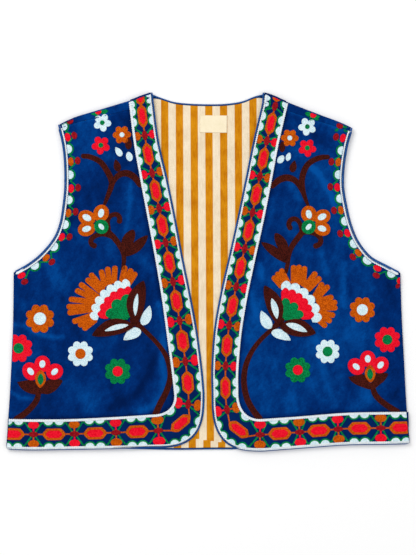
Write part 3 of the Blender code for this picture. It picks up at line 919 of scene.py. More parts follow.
@dataclass
class FrontPanel:
    """A front: the velvet from the front edge to the side seam, with its folds."""

    cut: Cut
    pucker: float = 0.00035
    piece: Piece = field(init=False)

    def height(self, u: float, v: float, x: float, y: float) -> float:
        """Finds the height of the middle of the wall.

        Args:
            u: a share of the way across, from the front edge to the side.
            v: a share of the way up.
            x: the spot's x.
            y: its y.

        Returns:
            the height there.
        """
        calm = ease(6 * u) * ease(6 * (1 - u)) * ease(6 * v) * ease(6 * (1 - v))
        crown = CROWN * math.sin(math.pi * u) * math.sin(math.pi * v)
        rise = (SEAM_HEIGHT - FRONT_HEIGHT) * ease((v - SHOULDER_RISE_STARTS) / (1 - SHOULDER_RISE_STARTS))
        folds = calm * (fold_height(FOLDS[self.cut.side], x, y) + fold_height(CREASES[self.cut.side], x, y))
        spot = Vector((x, y, 0))
        ripple = noise.noise(spot * 42) + 0.5 * noise.noise(spot * 95)
        return FRONT_HEIGHT + crown + rise + folds + self.pucker * ripple * ease(20 * u) * ease(20 * (1 - u))

    def build(self) -> None:
        """Builds the panel."""
        cut = self.cut
        middle = BAND_DOWN + BAND_CORNER // 2
        rows = len(cut.line) - 1
        edge = cut.inset_edge(BINDING_INSET)
        inset = [SIDE_ROLL_START + (ARMHOLE_FLAT - SIDE_ROLL_START) * self.at_armhole(j)
                 for j in range(rows + 1)]
        outside = [p - w * d for p, w, d in zip(cut.line, cut.ways, inset)]
        tip = cut.seam[0]
        start = crossing(cut.seam, 0, tip.x - cut.side.sign * (ARMHOLE_FLAT - BINDING_INSET))
        tail = even([start, tip], ROLL_STEPS)
        seam = even([p for p in reversed(cut.seam) if abs(p.x) < abs(start.x)] + [start], FRONT_ACROSS)
        hem = even(edge[middle:], FRONT_ACROSS)
        hem[-1] = outside[0] = Vector((outside[0].x, hem[-1].y))
        hem = even(hem, FRONT_ACROSS)
        front = even(list(reversed(edge[:middle + 1])), rows)
        front[-1] = seam[0]
        outside[-1] = seam[-1]
        body = patch(hem, seam, front, outside)

        def place(i: int, j: int) -> Vector:
            """The spot of a column and row."""
            v = j / rows
            if i <= FRONT_ACROSS:
                spot = body(i, j)
                return Vector((*spot, self.height(i / FRONT_ACROSS, v, *spot)))
            k = i - FRONT_ACROSS
            angle = ROLL_TURN * k / ROLL_STEPS
            arm = self.at_armhole(j)
            rolled_in = CLOTH / 2 + SIDE_RADIUS * (1 - math.sin(angle))
            flat_in = ARMHOLE_FLAT + (BINDING_INSET - ARMHOLE_FLAT) * k / ROLL_STEPS
            depth = rolled_in + (flat_in - rolled_in) * arm
            spot = outside[j] + cut.ways[j] * (inset[j] - depth) if j < rows else tail[k]
            rolled = FRONT_HEIGHT - SIDE_RADIUS * (1 - math.cos(angle))
            return Vector((*spot, rolled + (self.height(1, v, *spot) - rolled) * arm))

        surface = grid(FRONT_ACROSS + ROLL_STEPS, rows, place)
        # Each point's tone, with painted highlights along creases and seams and a painted shadow beside the
        # band
        tone_with_painted_light = surface.verts.layers.float.new("nap_and_painted_light")
        inner = KDTree(len(cut.inner))
        for k, point in enumerate(cut.inner):
            inner.insert((*point, 0), k)
        inner.balance()
        strokes = [(stroke, [at(*p) for p in stroke.path]) for stroke in NAP_AND_PAINTED_LIGHT[cut.side]]
        for vert in surface.verts:
            vert[tone_with_painted_light] = self.nap_and_painted_light(vert.co.xy, strokes, inner)
        name = cut.side.value
        self.piece = cloth_piece(f"front_{name}_cloth", surface, CLOTH, (VELVET, HIDDEN_LINING),
                                 [f"front_{name}"])
        area = one_side(self.piece)

    def nap_and_painted_light(self, spot: Vector, strokes: Sequence[tuple[Stroke, list[Vector]]], inner: KDTree) -> float:
        """Finds the velvet's tone: its pile, painted highlights along creases and seams, and a painted shadow
        along the band.

        Args:
            spot: the spot.
            strokes: the strokes, each with its path on the vest.
            inner: the points of the band's inner line.

        Returns:
            a tone, lighter above 0 and darker below.
        """
        # Painted shadow: a dark strip beside the band's inner edge; the right front starts a little lighter
        # than the left
        tone = 0.12 * self.cut.side.sign - 0.8 * math.exp(-(inner.find((*spot, 0))[2] / 0.0042) ** 2)
        for stroke, path in strokes:
            reach = stroke.width * PIXEL
            near = min(distance_to(spot, a, b) for a, b in zip(path, path[1:]))
            if near < 3 * reach:
                tone += stroke.tone * math.exp(-(near / reach) ** 2)
        return tone

    def at_armhole(self, row: int) -> float:
        """0 along the side seam, 1 along the armhole."""
        return ease((row - SIDE_ROWS) / UNDERARM_STEPS)


@dataclass
class BackPanel:
    """The back, flat on the ground, with a strip over each shoulder, and its striped lining."""

    cuts: dict[Side, Cut]
    wave: float = 0.0011
    tuck: float = 0.0009
    piece: Piece = field(init=False)
    lining: Piece = field(init=False)

    def edges(self, side_inset: float, underarm_inset: float, armhole_inset: float,
              shoulder_inset: float) -> tuple[list[Vector], ...]:
        """Draws the edge lines of the velvet or the lining.

        Args:
            side_inset: how far it stays inside the vest's outline along the side seams.
            underarm_inset: the same where the side seams meet the armholes.
            armhole_inset: the same along the armholes.
            shoulder_inset: how far it ends before the shoulders' folds.

        Returns:
            the hem, the top, the left and the right edge line.
        """
        uprights = []
        for side in Side:
            cut = self.cuts[side]
            insets = [side_inset] * (SIDE_ROWS - 4) + [underarm_inset] * 8
            insets += [armhole_inset] * (len(cut.line) - len(insets))
            for _ in range(3):
                before, after = [insets[0], *insets], [*insets[1:], insets[-1]]
                insets = [(a + b + c) / 3 for a, b, c in zip(before, insets, after)]
            uprights.append([p - w * d for p, w, d in zip(cut.line, cut.ways, insets)])
        left, right = [
            [f + (s - f).normalized() * shoulder_inset for f, s in zip(cut.fold, cut.seam)]
            for cut in self.cuts.values()]
        neck = [left[-1]] + [Vector((x, y - BINDING_INSET)) for x, y in BACK_NECK] + [right[-1]]
        top = left + spline(neck, NECK_COLUMNS)[1:-1] + list(reversed(right))
        levels = [Vector((-r, a)) for r, a, _ in BACK_HEM]
        levels += [Vector((r, b)) for r, _, b in reversed(BACK_HEM[:-1])]
        hem = [p + Vector((0, BINDING_INSET)) for p in spline(levels, len(top) - 1)]
        for upright, corner in zip(uprights, (0, -1)):
            hem[corner] = Vector((upright[0].x, hem[corner].y))
            upright[0] = hem[corner]
            upright[-1] = top[corner]
        return even(hem, len(top) - 1), top, uprights[0], uprights[1]

    def velvet_edges(self) -> tuple[list[Vector], ...]:
        """The edge lines of the velvet."""
        armhole_inset = BINDING_INSET - BACK_SHOWS_AT_ARMHOLE
        return self.edges(BACK_SIDE_INSET, UNDERARM_INSET, armhole_inset, SHOULDER_RADIUS)

    def build(self) -> None:
        """Builds the velvet and the lining."""
        edges = self.velvet_edges()
        body = patch(*edges)
        columns, rows = len(edges[0]) - 1, len(edges[2]) - 1

        def keep(column: float, row: float) -> bool:
            """Whether the cloth has this cell."""
            return row < rows or column < SHOULDER_COLUMNS or column > columns - SHOULDER_COLUMNS

        def place(i: int, j: int) -> Vector:
            """The spot of a column and row."""
            if j <= rows:
                return Vector((*body(i, j), BACK_HEIGHT))
            if i <= SHOULDER_COLUMNS:
                return self.cuts[Side.LEFT].over_shoulder(i, j - rows)[0]
            return self.cuts[Side.RIGHT].over_shoulder(columns - i, j - rows)[0]

        surface = grid(columns, rows + TURN_STEPS + 2, place, keep)
        self.piece = cloth_piece("back_cloth", surface, CLOTH, (VELVET,), ["back"])
        self.piece.data.set_sharp_from_angle(angle=SHARP_FROM)
        area = one_side(self.piece)

        edges = self.edges(LINING_INSET, LINING_INSET, LINING_INSET, 2 * SHOULDER_RADIUS)
        flat = patch(edges[0], edges[1], even(edges[2], LINING_ROWS), even(edges[3], LINING_ROWS))

        def lining_place(i: int, j: int) -> Vector:
            """The spot of a column and row of the lining."""
            spot = flat(i, j)
            return Vector((*spot, LINING_HEIGHT + self.lining_ripple(spot)))

        surface = grid(columns, LINING_ROWS, lining_place)
        self.lining = cloth_piece("back_lining", surface, LINING, (STRIPES,), ["lining_back"])
        area = one_side(self.lining)

    def lining_ripple(self, spot: Vector) -> float:
        """How far the lining stands off the back where the fronts leave it open."""
        left = crossing(self.cuts[Side.LEFT].outer, 1, spot.y).x
        right = crossing(self.cuts[Side.RIGHT].outer, 1, spot.y).x
        inside = ease((spot.x - left - 0.004) / 0.016) * ease((right - spot.x - 0.004) / 0.016)
        waves = 0.5 + 0.5 * noise.noise(Vector((spot.x * 34, spot.y * 7, 0)))
        tuck = math.exp(-((spot.y - TUCK_LEVEL + TUCK_SLOPE * (spot.x - TUCK_MIDDLE)) / 0.0022) ** 2)
        return inside * (self.wave * waves + self.tuck * tuck)


@dataclass
class Border:
    """The applied band of one front and the end of the neck's band on the shoulder."""

    cut: Cut
    ground: Ground
    piece: Piece = field(init=False)
    neck: Piece = field(init=False)

    def build(self) -> None:
        """Builds both bands."""
        cut = self.cut
        outer = cut.inset_edge(BINDING_INSET + GAP)
        inner = list(cut.inner)
        for rail in (outer, inner):
            rail[0] = Vector((rail[0].x, crossing(cut.seam, 0, rail[0].x).y - 2 * GAP))
            end = crossing(cut.line, 1, rail[-1].y).x
            rail[-1] = Vector((end - cut.side.sign * (SIDE_ROLL_START + 2 * GAP), rail[-1].y))

        def place(i: int, j: int) -> Vector:
            """The spot of a column and row."""
            spot = outer[j].lerp(inner[j], i / BAND_ACROSS)
            under = outer[j].lerp(inner[j], min(max(i / BAND_ACROSS, 0.03), 0.97))
            return Vector((*spot, self.ground.height(*under) + OVER_CLOTH + BAND / 2))

        name = cut.side.value
        surface = grid(BAND_ACROSS, len(outer) - 1, place)
        self.piece = cloth_piece(f"band_{name}_cloth", surface, BAND, (BAND_VELVET,),
                                 [f"band_{name}"])
        self.piece.data.set_sharp_from_angle(angle=SHARP_FROM)
        area = one_side(self.piece)

        width = getattr(FRONT_EDGE[0], name + "_band") - BINDING_INSET
        neck_end = cut.fold[-1]
        first = min(range(SHOULDER_COLUMNS), key=lambda k: abs((cut.fold[k] - neck_end).length - width))
        low = TURN_STEPS // 2

        def neck_place(i: int, j: int) -> Vector:
            """The spot of a column and row of the neck's band."""
            spot, out = cut.over_shoulder(first + i, low + j)
            return spot + out * (CLOTH / 2 + OVER_CLOTH + BAND / 2)

        surface = grid(SHOULDER_COLUMNS - first, TURN_STEPS + 2 - low, neck_place)
        self.neck = cloth_piece(f"neck_band_{name}_cloth", surface, BAND, (BAND_VELVET,),
                                [f"neck_band_{name}"])
        self.neck.data.set_sharp_from_angle(angle=SHARP_FROM)


def cord(name: str, path: Line) -> None:
    """Makes a binding, a rolled edge of twill along a line, in place of the node of that name."""
    curve = bpy.data.curves.new(name, "CURVE")
    curve.dimensions = "3D"
    curve.bevel_depth = BINDING_RADIUS
    curve.bevel_resolution = 3
    curve.use_fill_caps = True
    run = curve.splines.new("POLY")
    run.points.add(len(path) - 1)
    for point, spot in zip(run.points, path):
        point.co = (*spot, 1)
    shape = bpy.data.objects.new("cord", curve)
    bpy.context.scene.collection.objects.link(shape)
    mesh = bmesh.new()
    data = finished_mesh(shape)
    mesh.from_mesh(data)
    bpy.data.meshes.remove(data)
    bpy.data.objects.remove(shape)
    cloth_piece(f"{name}_roll", mesh, 0.0, (BINDING,), [name])


@dataclass
class Bindings:
    """The rolled bindings of the edges: of the fronts, of the armholes, of the neck and of the hem."""

    cuts: dict[Side, Cut]

    def over_shoulder(self, cut: Cut, last: int, before: int) -> list[Vector]:
        """A roll's path beside the shoulder, from the top of its fold down to the seam."""
        found = []
        for step in range(TURN_STEPS // 2 + 1, TURN_STEPS + 3):
            spot = cut.over_shoulder(last, step)[0]
            way = (spot - cut.over_shoulder(before, step)[0]).normalized()
            found.append(spot + way * (GAP + BINDING_RADIUS))
        return found

    def build_front(self, cut: Cut, ground: Ground) -> None:
        """Builds the bindings of a front's edge and armhole and of the back's armhole."""
        limit = abs(SIDE_SEAM[0].left_x) - SIDE_ROLL_START - GAP
        path = self.over_shoulder(cut, SHOULDER_COLUMNS, SHOULDER_COLUMNS - 1)
        edge = cut.inset_edge(BINDING_RADIUS)
        for spot, under in zip(edge[4:], cut.inset_edge(BINDING_INSET + BINDING_RADIUS)[4:]):
            if abs(spot.x) < limit:
                path.append(Vector((*spot, ground.height(*under) - CLOTH / 2)))
        cord(f"binding_edge_{cut.side.value}", path)
        start = SIDE_ROWS + 1
        path = []
        for spot, way in zip(cut.line[start:-1], cut.ways[start:-1]):
            height = ground.height(*(spot - way * (BINDING_INSET + BINDING_RADIUS))) - CLOTH / 2
            path.append(Vector((*(spot - way * BINDING_RADIUS), height)))
        path += reversed(self.over_shoulder(cut, 0, 1))
        cord(f"binding_armhole_{cut.side.value}", path)
        cord(f"binding_back_armhole_{cut.side.value}",
             [Vector((*(spot + way * (BACK_SHOWS_AT_ARMHOLE - BINDING_RADIUS)), BINDING_RADIUS))
              for spot, way in zip(cut.line[start:], cut.ways[start:])])

    def build_back(self, edges: Sequence[Line]) -> None:
        """Builds the bindings of the back's neck and hem."""
        hem, top = edges[:2]
        neck = top[SHOULDER_COLUMNS:SHOULDER_COLUMNS + NECK_COLUMNS + 1]
        neck[0], neck[-1] = neck[1].lerp(neck[0], 0.8), neck[-2].lerp(neck[-1], 0.8)
        away = GAP + BINDING_RADIUS
        cord("binding_neck", [Vector((*p, BINDING_RADIUS)) for p in offset(neck, -away)])
        cord("binding_hem", [Vector((*p, BINDING_RADIUS)) for p in offset(hem, away)])


def build_label() -> None:
    """Builds the small woven label, without lettering, that is sewn to the lining under the neck."""
    width, depth, wall = LABEL_SIZE
    columns, rows = LABEL_GRID
    turn = math.radians(LABEL_TURN)
    base = CLOTH + LINING + 2 * GAP

    def place(i: int, j: int) -> Vector:
        """The spot of a column and row: the label curls up a little at its corners."""
        u, v = i / columns - 0.5, j / rows - 0.5
        curl = 0.0009 * ((2 * u) ** 4) * ((2 * v) ** 2) + 0.0001 * noise.noise(Vector((u * 6, v * 4, 2)))
        x, y = u * width, v * depth
        return Vector((LABEL_PLACE[0] + x * math.cos(turn) - y * math.sin(turn),
                       LABEL_PLACE[1] + x * math.sin(turn) + y * math.cos(turn), base + wall / 2 + abs(curl)))

    cloth_piece("bare_label", grid(columns, rows, place), wall, (LABEL,), ["label"])


# The rows of thread: their distance and height, and how far they go down into the cloth
ROW = 0.0017
ROW_HEIGHT = 0.0008
ROW_FOOT = 0.0003
# What lies on other sewing lies this much higher
LAYER = 0.0005
# How far the sewing stays inside the side seam and the shoulder's fold, and where the fold is asked
SEAM_CLEAR = 0.0012
FOLD_CLEAR = 0.0014
SHOULDER_FROM = 0.19


def smooth(path: Sequence[Sequence[float]], step: float = 0.0022) -> list[Vector]:
    """Draws a smooth line.

    Args:
        path: its places in the camera's view, each with the line's width there.
        step: the distance between two points of the result.

    Returns:
        its points on the vest, with the widths as their third numbers.
    """
    points = [Vector((*at(x, y), width * PIXEL)) for x, y, width in path]
    return spline(points, max(4, round(span(points) / step)), 12)


class Stitch(NamedTuple):
    """A point of a shape's outline, and how the rows run from it."""

    outer: Vector
    core: Vector
    rows: int
    height: float
    lift: float
    thread: int


class Needle:
    """Fills shapes with rows of thread on a piece of cloth and gathers them into one piece."""

    def __init__(self, ground: Ground, cut: Cut) -> None:
        """Starts on a ground, within the outline of a front."""
        self.ground = ground
        self.cut = cut
        self.mesh = bmesh.new()
        self.order = self.mesh.verts.layers.int.new("order")
        self.stitches: list[Stitch] = []
        self.threads: list[Thread] = []

    def fill(self, outline: Line, spine: Line, thread: Thread, rows: int = 2,
             height: float = ROW_HEIGHT, lift: float = 0.0) -> None:
        """Takes a shape to be filled with rows that follow its outline.

        Args:
            outline: the closed outline.
            spine: for each point of the outline, the point that the rows close in on.
            thread: the finish of the rows.
            rows: how many rows lie between the outline and the spine.
            height: how high the rows stand.
            lift: how high the whole shape lies over the cloth.
        """
        if thread not in self.threads:
            self.threads.append(thread)
        colour = self.threads.index(thread)
        ring = bmesh.ops.create_circle(self.mesh, segments=len(outline), radius=1.0)["verts"]
        for vert, outer, core in zip(ring, outline, spine):
            vert[self.order] = len(self.stitches)
            self.stitches.append(Stitch(outer.xy, core.xy, rows, height, lift, colour))
            vert.co = (*outer.xy, lift - ROW_FOOT)

    def work(self) -> None:
        """Fills all the shapes, a row at a time."""
        edges = list(self.mesh.edges)
        step = 0
        while edges:
            grown = bmesh.ops.extrude_edge_only(self.mesh, edges=edges)["geom"]
            rise = 0.45 if step == 0 else 1.0 if step % 2 else 0.5
            for vert in (g for g in grown if isinstance(g, bmesh.types.BMVert)):
                stitch = self.stitches[vert[self.order]]
                share = min(1.0, step / (2 * stitch.rows))
                vert.co = (*stitch.outer.lerp(stitch.core, share), stitch.lift + stitch.height * rise)
            for face in (g for g in grown if isinstance(g, bmesh.types.BMFace)):
                face.material_index = self.stitches[face.verts[0][self.order]].thread
                face.smooth = True
            step += 1
            edges = [g for g in grown if isinstance(g, bmesh.types.BMEdge)
                     and step <= 2 * self.stitches[g.verts[0][self.order]].rows]

    def disc(self, centre: Vector, radius: float, thread: Thread, stretch: float = 1.0, turn: float = 0.0,
             lift: float = 0.0, rows: int = 0, height: float = ROW_HEIGHT, steps: int = 0) -> None:
        """Fills an ellipse.

        Args:
            centre: its middle.
            radius: its half width across the way that it is turned, in metres.
            thread: the finish.
            stretch: its half length in half widths.
            turn: the way of its length, in degrees from +X.
            lift: how high it lies over the cloth.
            rows: the rows of thread; 0 chooses them by the size.
            height: how high the rows stand.
            steps: the points of its outline; 0 chooses them by the size.
        """
        along = heading(turn)
        across = Vector((-along.y, along.x))
        steps = steps or (14 if radius < 0.006 else 22)
        outline = []
        for k in range(steps):
            angle = 2 * math.pi * k / steps
            out = along * (radius * stretch * math.cos(angle))
            outline.append(centre + out + across * (radius * math.sin(angle)))
        core = [centre + along * (p - centre).dot(along) * (1 - 1 / max(stretch, 1.0)) for p in outline]
        rows = rows or max(1, round(min(radius, radius * stretch) / ROW))
        self.fill(outline, core, thread, rows, height, lift)

    def petal(self, base: Vector, tip: Vector, width: float, thread: Thread, belly: float = 1.0,
              blunt: float = 0.6, lift: float = 0.0, bend: float = 0.0) -> None:
        """Fills a petal or a leaf.

        Args:
            base: its foot.
            tip: its tip.
            width: its greatest width.
            thread: the finish.
            belly: below 1 its greatest width lies nearer the foot, above 1 nearer the tip.
            blunt: below 1 its ends are round, at 1 and above they are pointed.
            lift: how high it lies over the cloth.
            bend: how far its middle bows out to the left, as a share of its length.
        """
        way = tip - base
        side = Vector((-way.y, way.x))
        steps = 12
        left, right, core = [], [], []
        for k in range(steps + 1):
            t = (1 - math.cos(math.pi * k / steps)) / 2
            middle = base + way * t + side * (bend * math.sin(math.pi * t))
            half = side.normalized() * (width / 2 * math.sin(math.pi * t**belly) ** blunt)
            left.append(middle + half)
            right.append(middle - half)
            core.append(base + way * (0.12 + 0.76 * t) + side * (bend * math.sin(math.pi * t)))
        outline = left[1:] + right[-2:0:-1] + [left[0]]
        spine = core[1:] + core[-2:0:-1] + [core[0]]
        self.fill(outline, spine, thread, max(1, round(width / 2 / ROW)), lift=lift)

    def ribbon(self, path: Line, thread: Thread, rows: int = 0,
               height: float = ROW_HEIGHT) -> None:
        """Fills a band of rows along a line, with round ends.

        Args:
            path: the line, whose third number is its width.
            thread: the finish.
            rows: the rows on each side of the middle; 0 chooses them by the width.
            height: how high the rows stand.
        """
        widths = [p.z for p in path]
        sides = normals(path)
        core = [p.xy for p in path]
        left = [p - n * w / 2 for p, n, w in zip(core, sides, widths)]
        right = [p + n * w / 2 for p, n, w in zip(core, sides, widths)]

        def cap(centre: Vector, start: Vector, out: Vector, half: float) -> list[Vector]:
            """The points of a round end, from one side to the other."""
            return [centre + start * (half * math.cos(a)) + out * (half * 0.8 * math.sin(a))
                    for a in (math.pi / 4, math.pi / 2, 3 * math.pi / 4)]

        ahead = (core[-1] - core[-2]).normalized()
        behind = (core[0] - core[1]).normalized()
        end = cap(core[-1], -sides[-1], ahead, widths[-1] / 2)
        start = cap(core[0], sides[0], behind, widths[0] / 2)
        outline = left + end + right[::-1] + start
        spine = core + [core[-1]] * 3 + core[::-1] + [core[0]] * 3
        self.fill(outline, spine, thread, rows or max(1, round(max(widths) / 2 / ROW)), height)

    def piece(self, name: str) -> None:
        """Lays what is sewn on its ground and makes the piece of that name."""
        self.work()
        heights: dict[tuple[float, float], float] = {}
        for vert in self.mesh.verts:
            x, y = self.inside(vert.co.x, vert.co.y)
            key = (round(x, 5), round(y, 5))
            if key not in heights:
                heights[key] = self.ground.height(x, y)
            vert.co = (x, y, vert.co.z + heights[key])
        bmesh.ops.remove_doubles(self.mesh, verts=self.mesh.verts, dist=0.00003)
        self.mesh.normal_update()
        bmesh.ops.reverse_faces(self.mesh, faces=[f for f in self.mesh.faces if f.normal.z < 0])
        thing = new_object(name, self.mesh)
        for thread in self.threads:
            thing.data.materials.append(thread.material())
        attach(thing, "root")
        LOG.info("%s: %d faces", name, len(thing.data.polygons))

    def inside(self, x: float, y: float) -> tuple[float, float]:
        """The place itself, or the nearest one inside the side seam and the shoulder's fold."""
        if y < SIDE_SEAM[-1].left_y:
            reach = abs(crossing(self.cut.line[:SIDE_ROWS + 1], 1, y).x) - SEAM_CLEAR
            x = max(-reach, min(reach, x))
        elif y > SHOULDER_FROM:
            y = min(y, crossing(self.cut.fold, 0, x).y - FOLD_CLEAR)
        return x, y


@dataclass(frozen=True)
class Blossom:
    """A flower of round petals about a round heart."""

    x: float
    y: float
    petals: int
    start: float
    reach: float
    petal: float
    heart: float
    thread: Thread
    heart_thread: Thread

    def sew(self, needle: Needle) -> None:
        """Sews the petals and then the heart on them."""
        centre = at(self.x, self.y)
        for k in range(self.petals):
            angle = self.start + 360 * k / self.petals
            spot = centre + heading(angle) * self.reach * PIXEL
            needle.disc(spot, self.petal * PIXEL, self.thread, 1.15, angle)
        needle.disc(centre, self.heart * PIXEL, self.heart_thread, lift=LAYER)


@dataclass(frozen=True)
class Drop:
    """A petal or leaf between two places."""

    x0: float
    y0: float
    x1: float
    y1: float
    width: float
    thread: Thread
    belly: float = 1.0
    blunt: float = 0.6
    lift: float = 0.0
    bend: float = 0.0

    def sew(self, needle: Needle) -> None:
        """Sews it."""
        base, tip = at(self.x0, self.y0), at(self.x1, self.y1)
        needle.petal(base, tip, self.width * PIXEL, self.thread, self.belly, self.blunt, self.lift, self.bend)


@dataclass(frozen=True)
class Stem:
    """A brown stem or curl through places, each with its width."""

    path: tuple[tuple[float, float, float], ...]

    def sew(self, needle: Needle) -> None:
        """Sews it."""
        needle.ribbon(smooth(self.path), BROWN)


@dataclass(frozen=True)
class Eye:
    """An oval petal with an oval of white in it."""

    x: float
    y: float
    half_width: float
    stretch: float
    turn: float
    thread: Thread
    white: float = 0.0
    white_stretch: float = 1.0
    white_turn: float = 0.0
    lift: float = 0.0004

    def sew(self, needle: Needle) -> None:
        """Sews it."""
        centre = at(self.x, self.y)
        needle.disc(centre, self.half_width * PIXEL, self.thread, self.stretch, self.turn, self.lift)
        if self.white:
            needle.disc(centre, self.white * PIXEL, WHITE, self.white_stretch, self.white_turn,
                        self.lift + LAYER)


@dataclass(frozen=True)
class Lobes:
    """A scalloped arc of the great flower, from one angle to another about its foot."""

    inner: float
    low: float
    high: float
    count: int
    first: float
    last: float
    thread: Thread
    rows: int = 3
    steps: int = 8

    def spoke(self, share: float) -> tuple[Vector, float]:
        """The way from the foot at a share of the arc, and how full the arc is there."""
        ends = min(1.0, 0.62 + 5 * min(share, 1 - share))
        return heading(self.first + (self.last - self.first) * share), ends

    def sew(self, needle: Needle, foot: Vector, lift: float) -> None:
        """Sews it about a foot, at a height over the cloth."""
        outline, core = [], []
        last = self.count * self.steps
        for k in range(last + 1):
            way, ends = self.spoke(k / last)
            out = self.low + (self.high - self.low) * abs(math.sin(math.pi * self.count * (k / last))) ** 0.7
            middle = (self.inner + out) / 2
            outline.append(foot + way * (middle + (out - middle) * ends) * PIXEL)
            core.append(foot + way * (self.inner + self.low) / 2 * PIXEL)
        middle = (self.inner + self.low) / 2
        for k in range(last, -1, -1):
            way, ends = self.spoke(k / last)
            outline.append(foot + way * (middle - (middle - self.inner) * ends) * PIXEL)
            core.append(foot + way * middle * PIXEL)
        needle.fill(outline, core, self.thread, self.rows, lift=lift)


@dataclass(frozen=True)
class Fan:
    """The great flower: scalloped arcs about its foot, with fingers of orange beyond them."""

    x: float
    y: float
    fingers: tuple[tuple[float, float, float, float], ...]
    arcs: tuple[Lobes, ...]
    finger_width: float = 5.7

    def sew(self, needle: Needle) -> None:
        """Sews the fingers, then the arcs, the inner ones above the outer ones."""
        for x0, y0, x1, y1 in self.fingers:
            base, tip = at(x0, y0), at(x1, y1)
            path = [Vector((*base.lerp(tip, k / 8), self.finger_width * PIXEL)) for k in range(9)]
            needle.ribbon(path, ORANGE, rows=2)
        for k, arc in enumerate(self.arcs):
            arc.sew(needle, at(self.x, self.y), ROW_FOOT + LAYER * k)


@dataclass(frozen=True)
class Shape:
    """A shape of its own between places of its outline, whose rows close in on places of its spine."""

    outline: tuple[tuple[float, float], ...]
    spine: tuple[tuple[float, float], ...]
    thread: Thread
    rows: int = 3

    def sew(self, needle: Needle) -> None:
        """Sews it."""
        corners = [at(*p) for p in self.outline]
        closed = spline([*corners, corners[0]], 5 * len(corners), 8)[:-1]
        spine = even([at(*p) for p in self.spine], 40)
        core = [min(spine, key=lambda q: (q - p).length_squared) for p in closed]
        needle.fill(closed, core, self.thread, self.rows)


def leaf(x0: float, y0: float, x1: float, y1: float, width: float, blunt: float = 0.8) -> Drop:
    """A small green leaf from one place to another."""
    return Drop(x0, y0, x1, y1, width, GREEN, 1.0, blunt)


def rosette(x: float, y: float, reach: float, heart: float, thread: Thread, heart_thread: Thread) -> Blossom:
    """A flower of eight petals."""
    return Blossom(x, y, 8, 22.5, reach * 0.68, reach * 0.33, heart, thread, heart_thread)


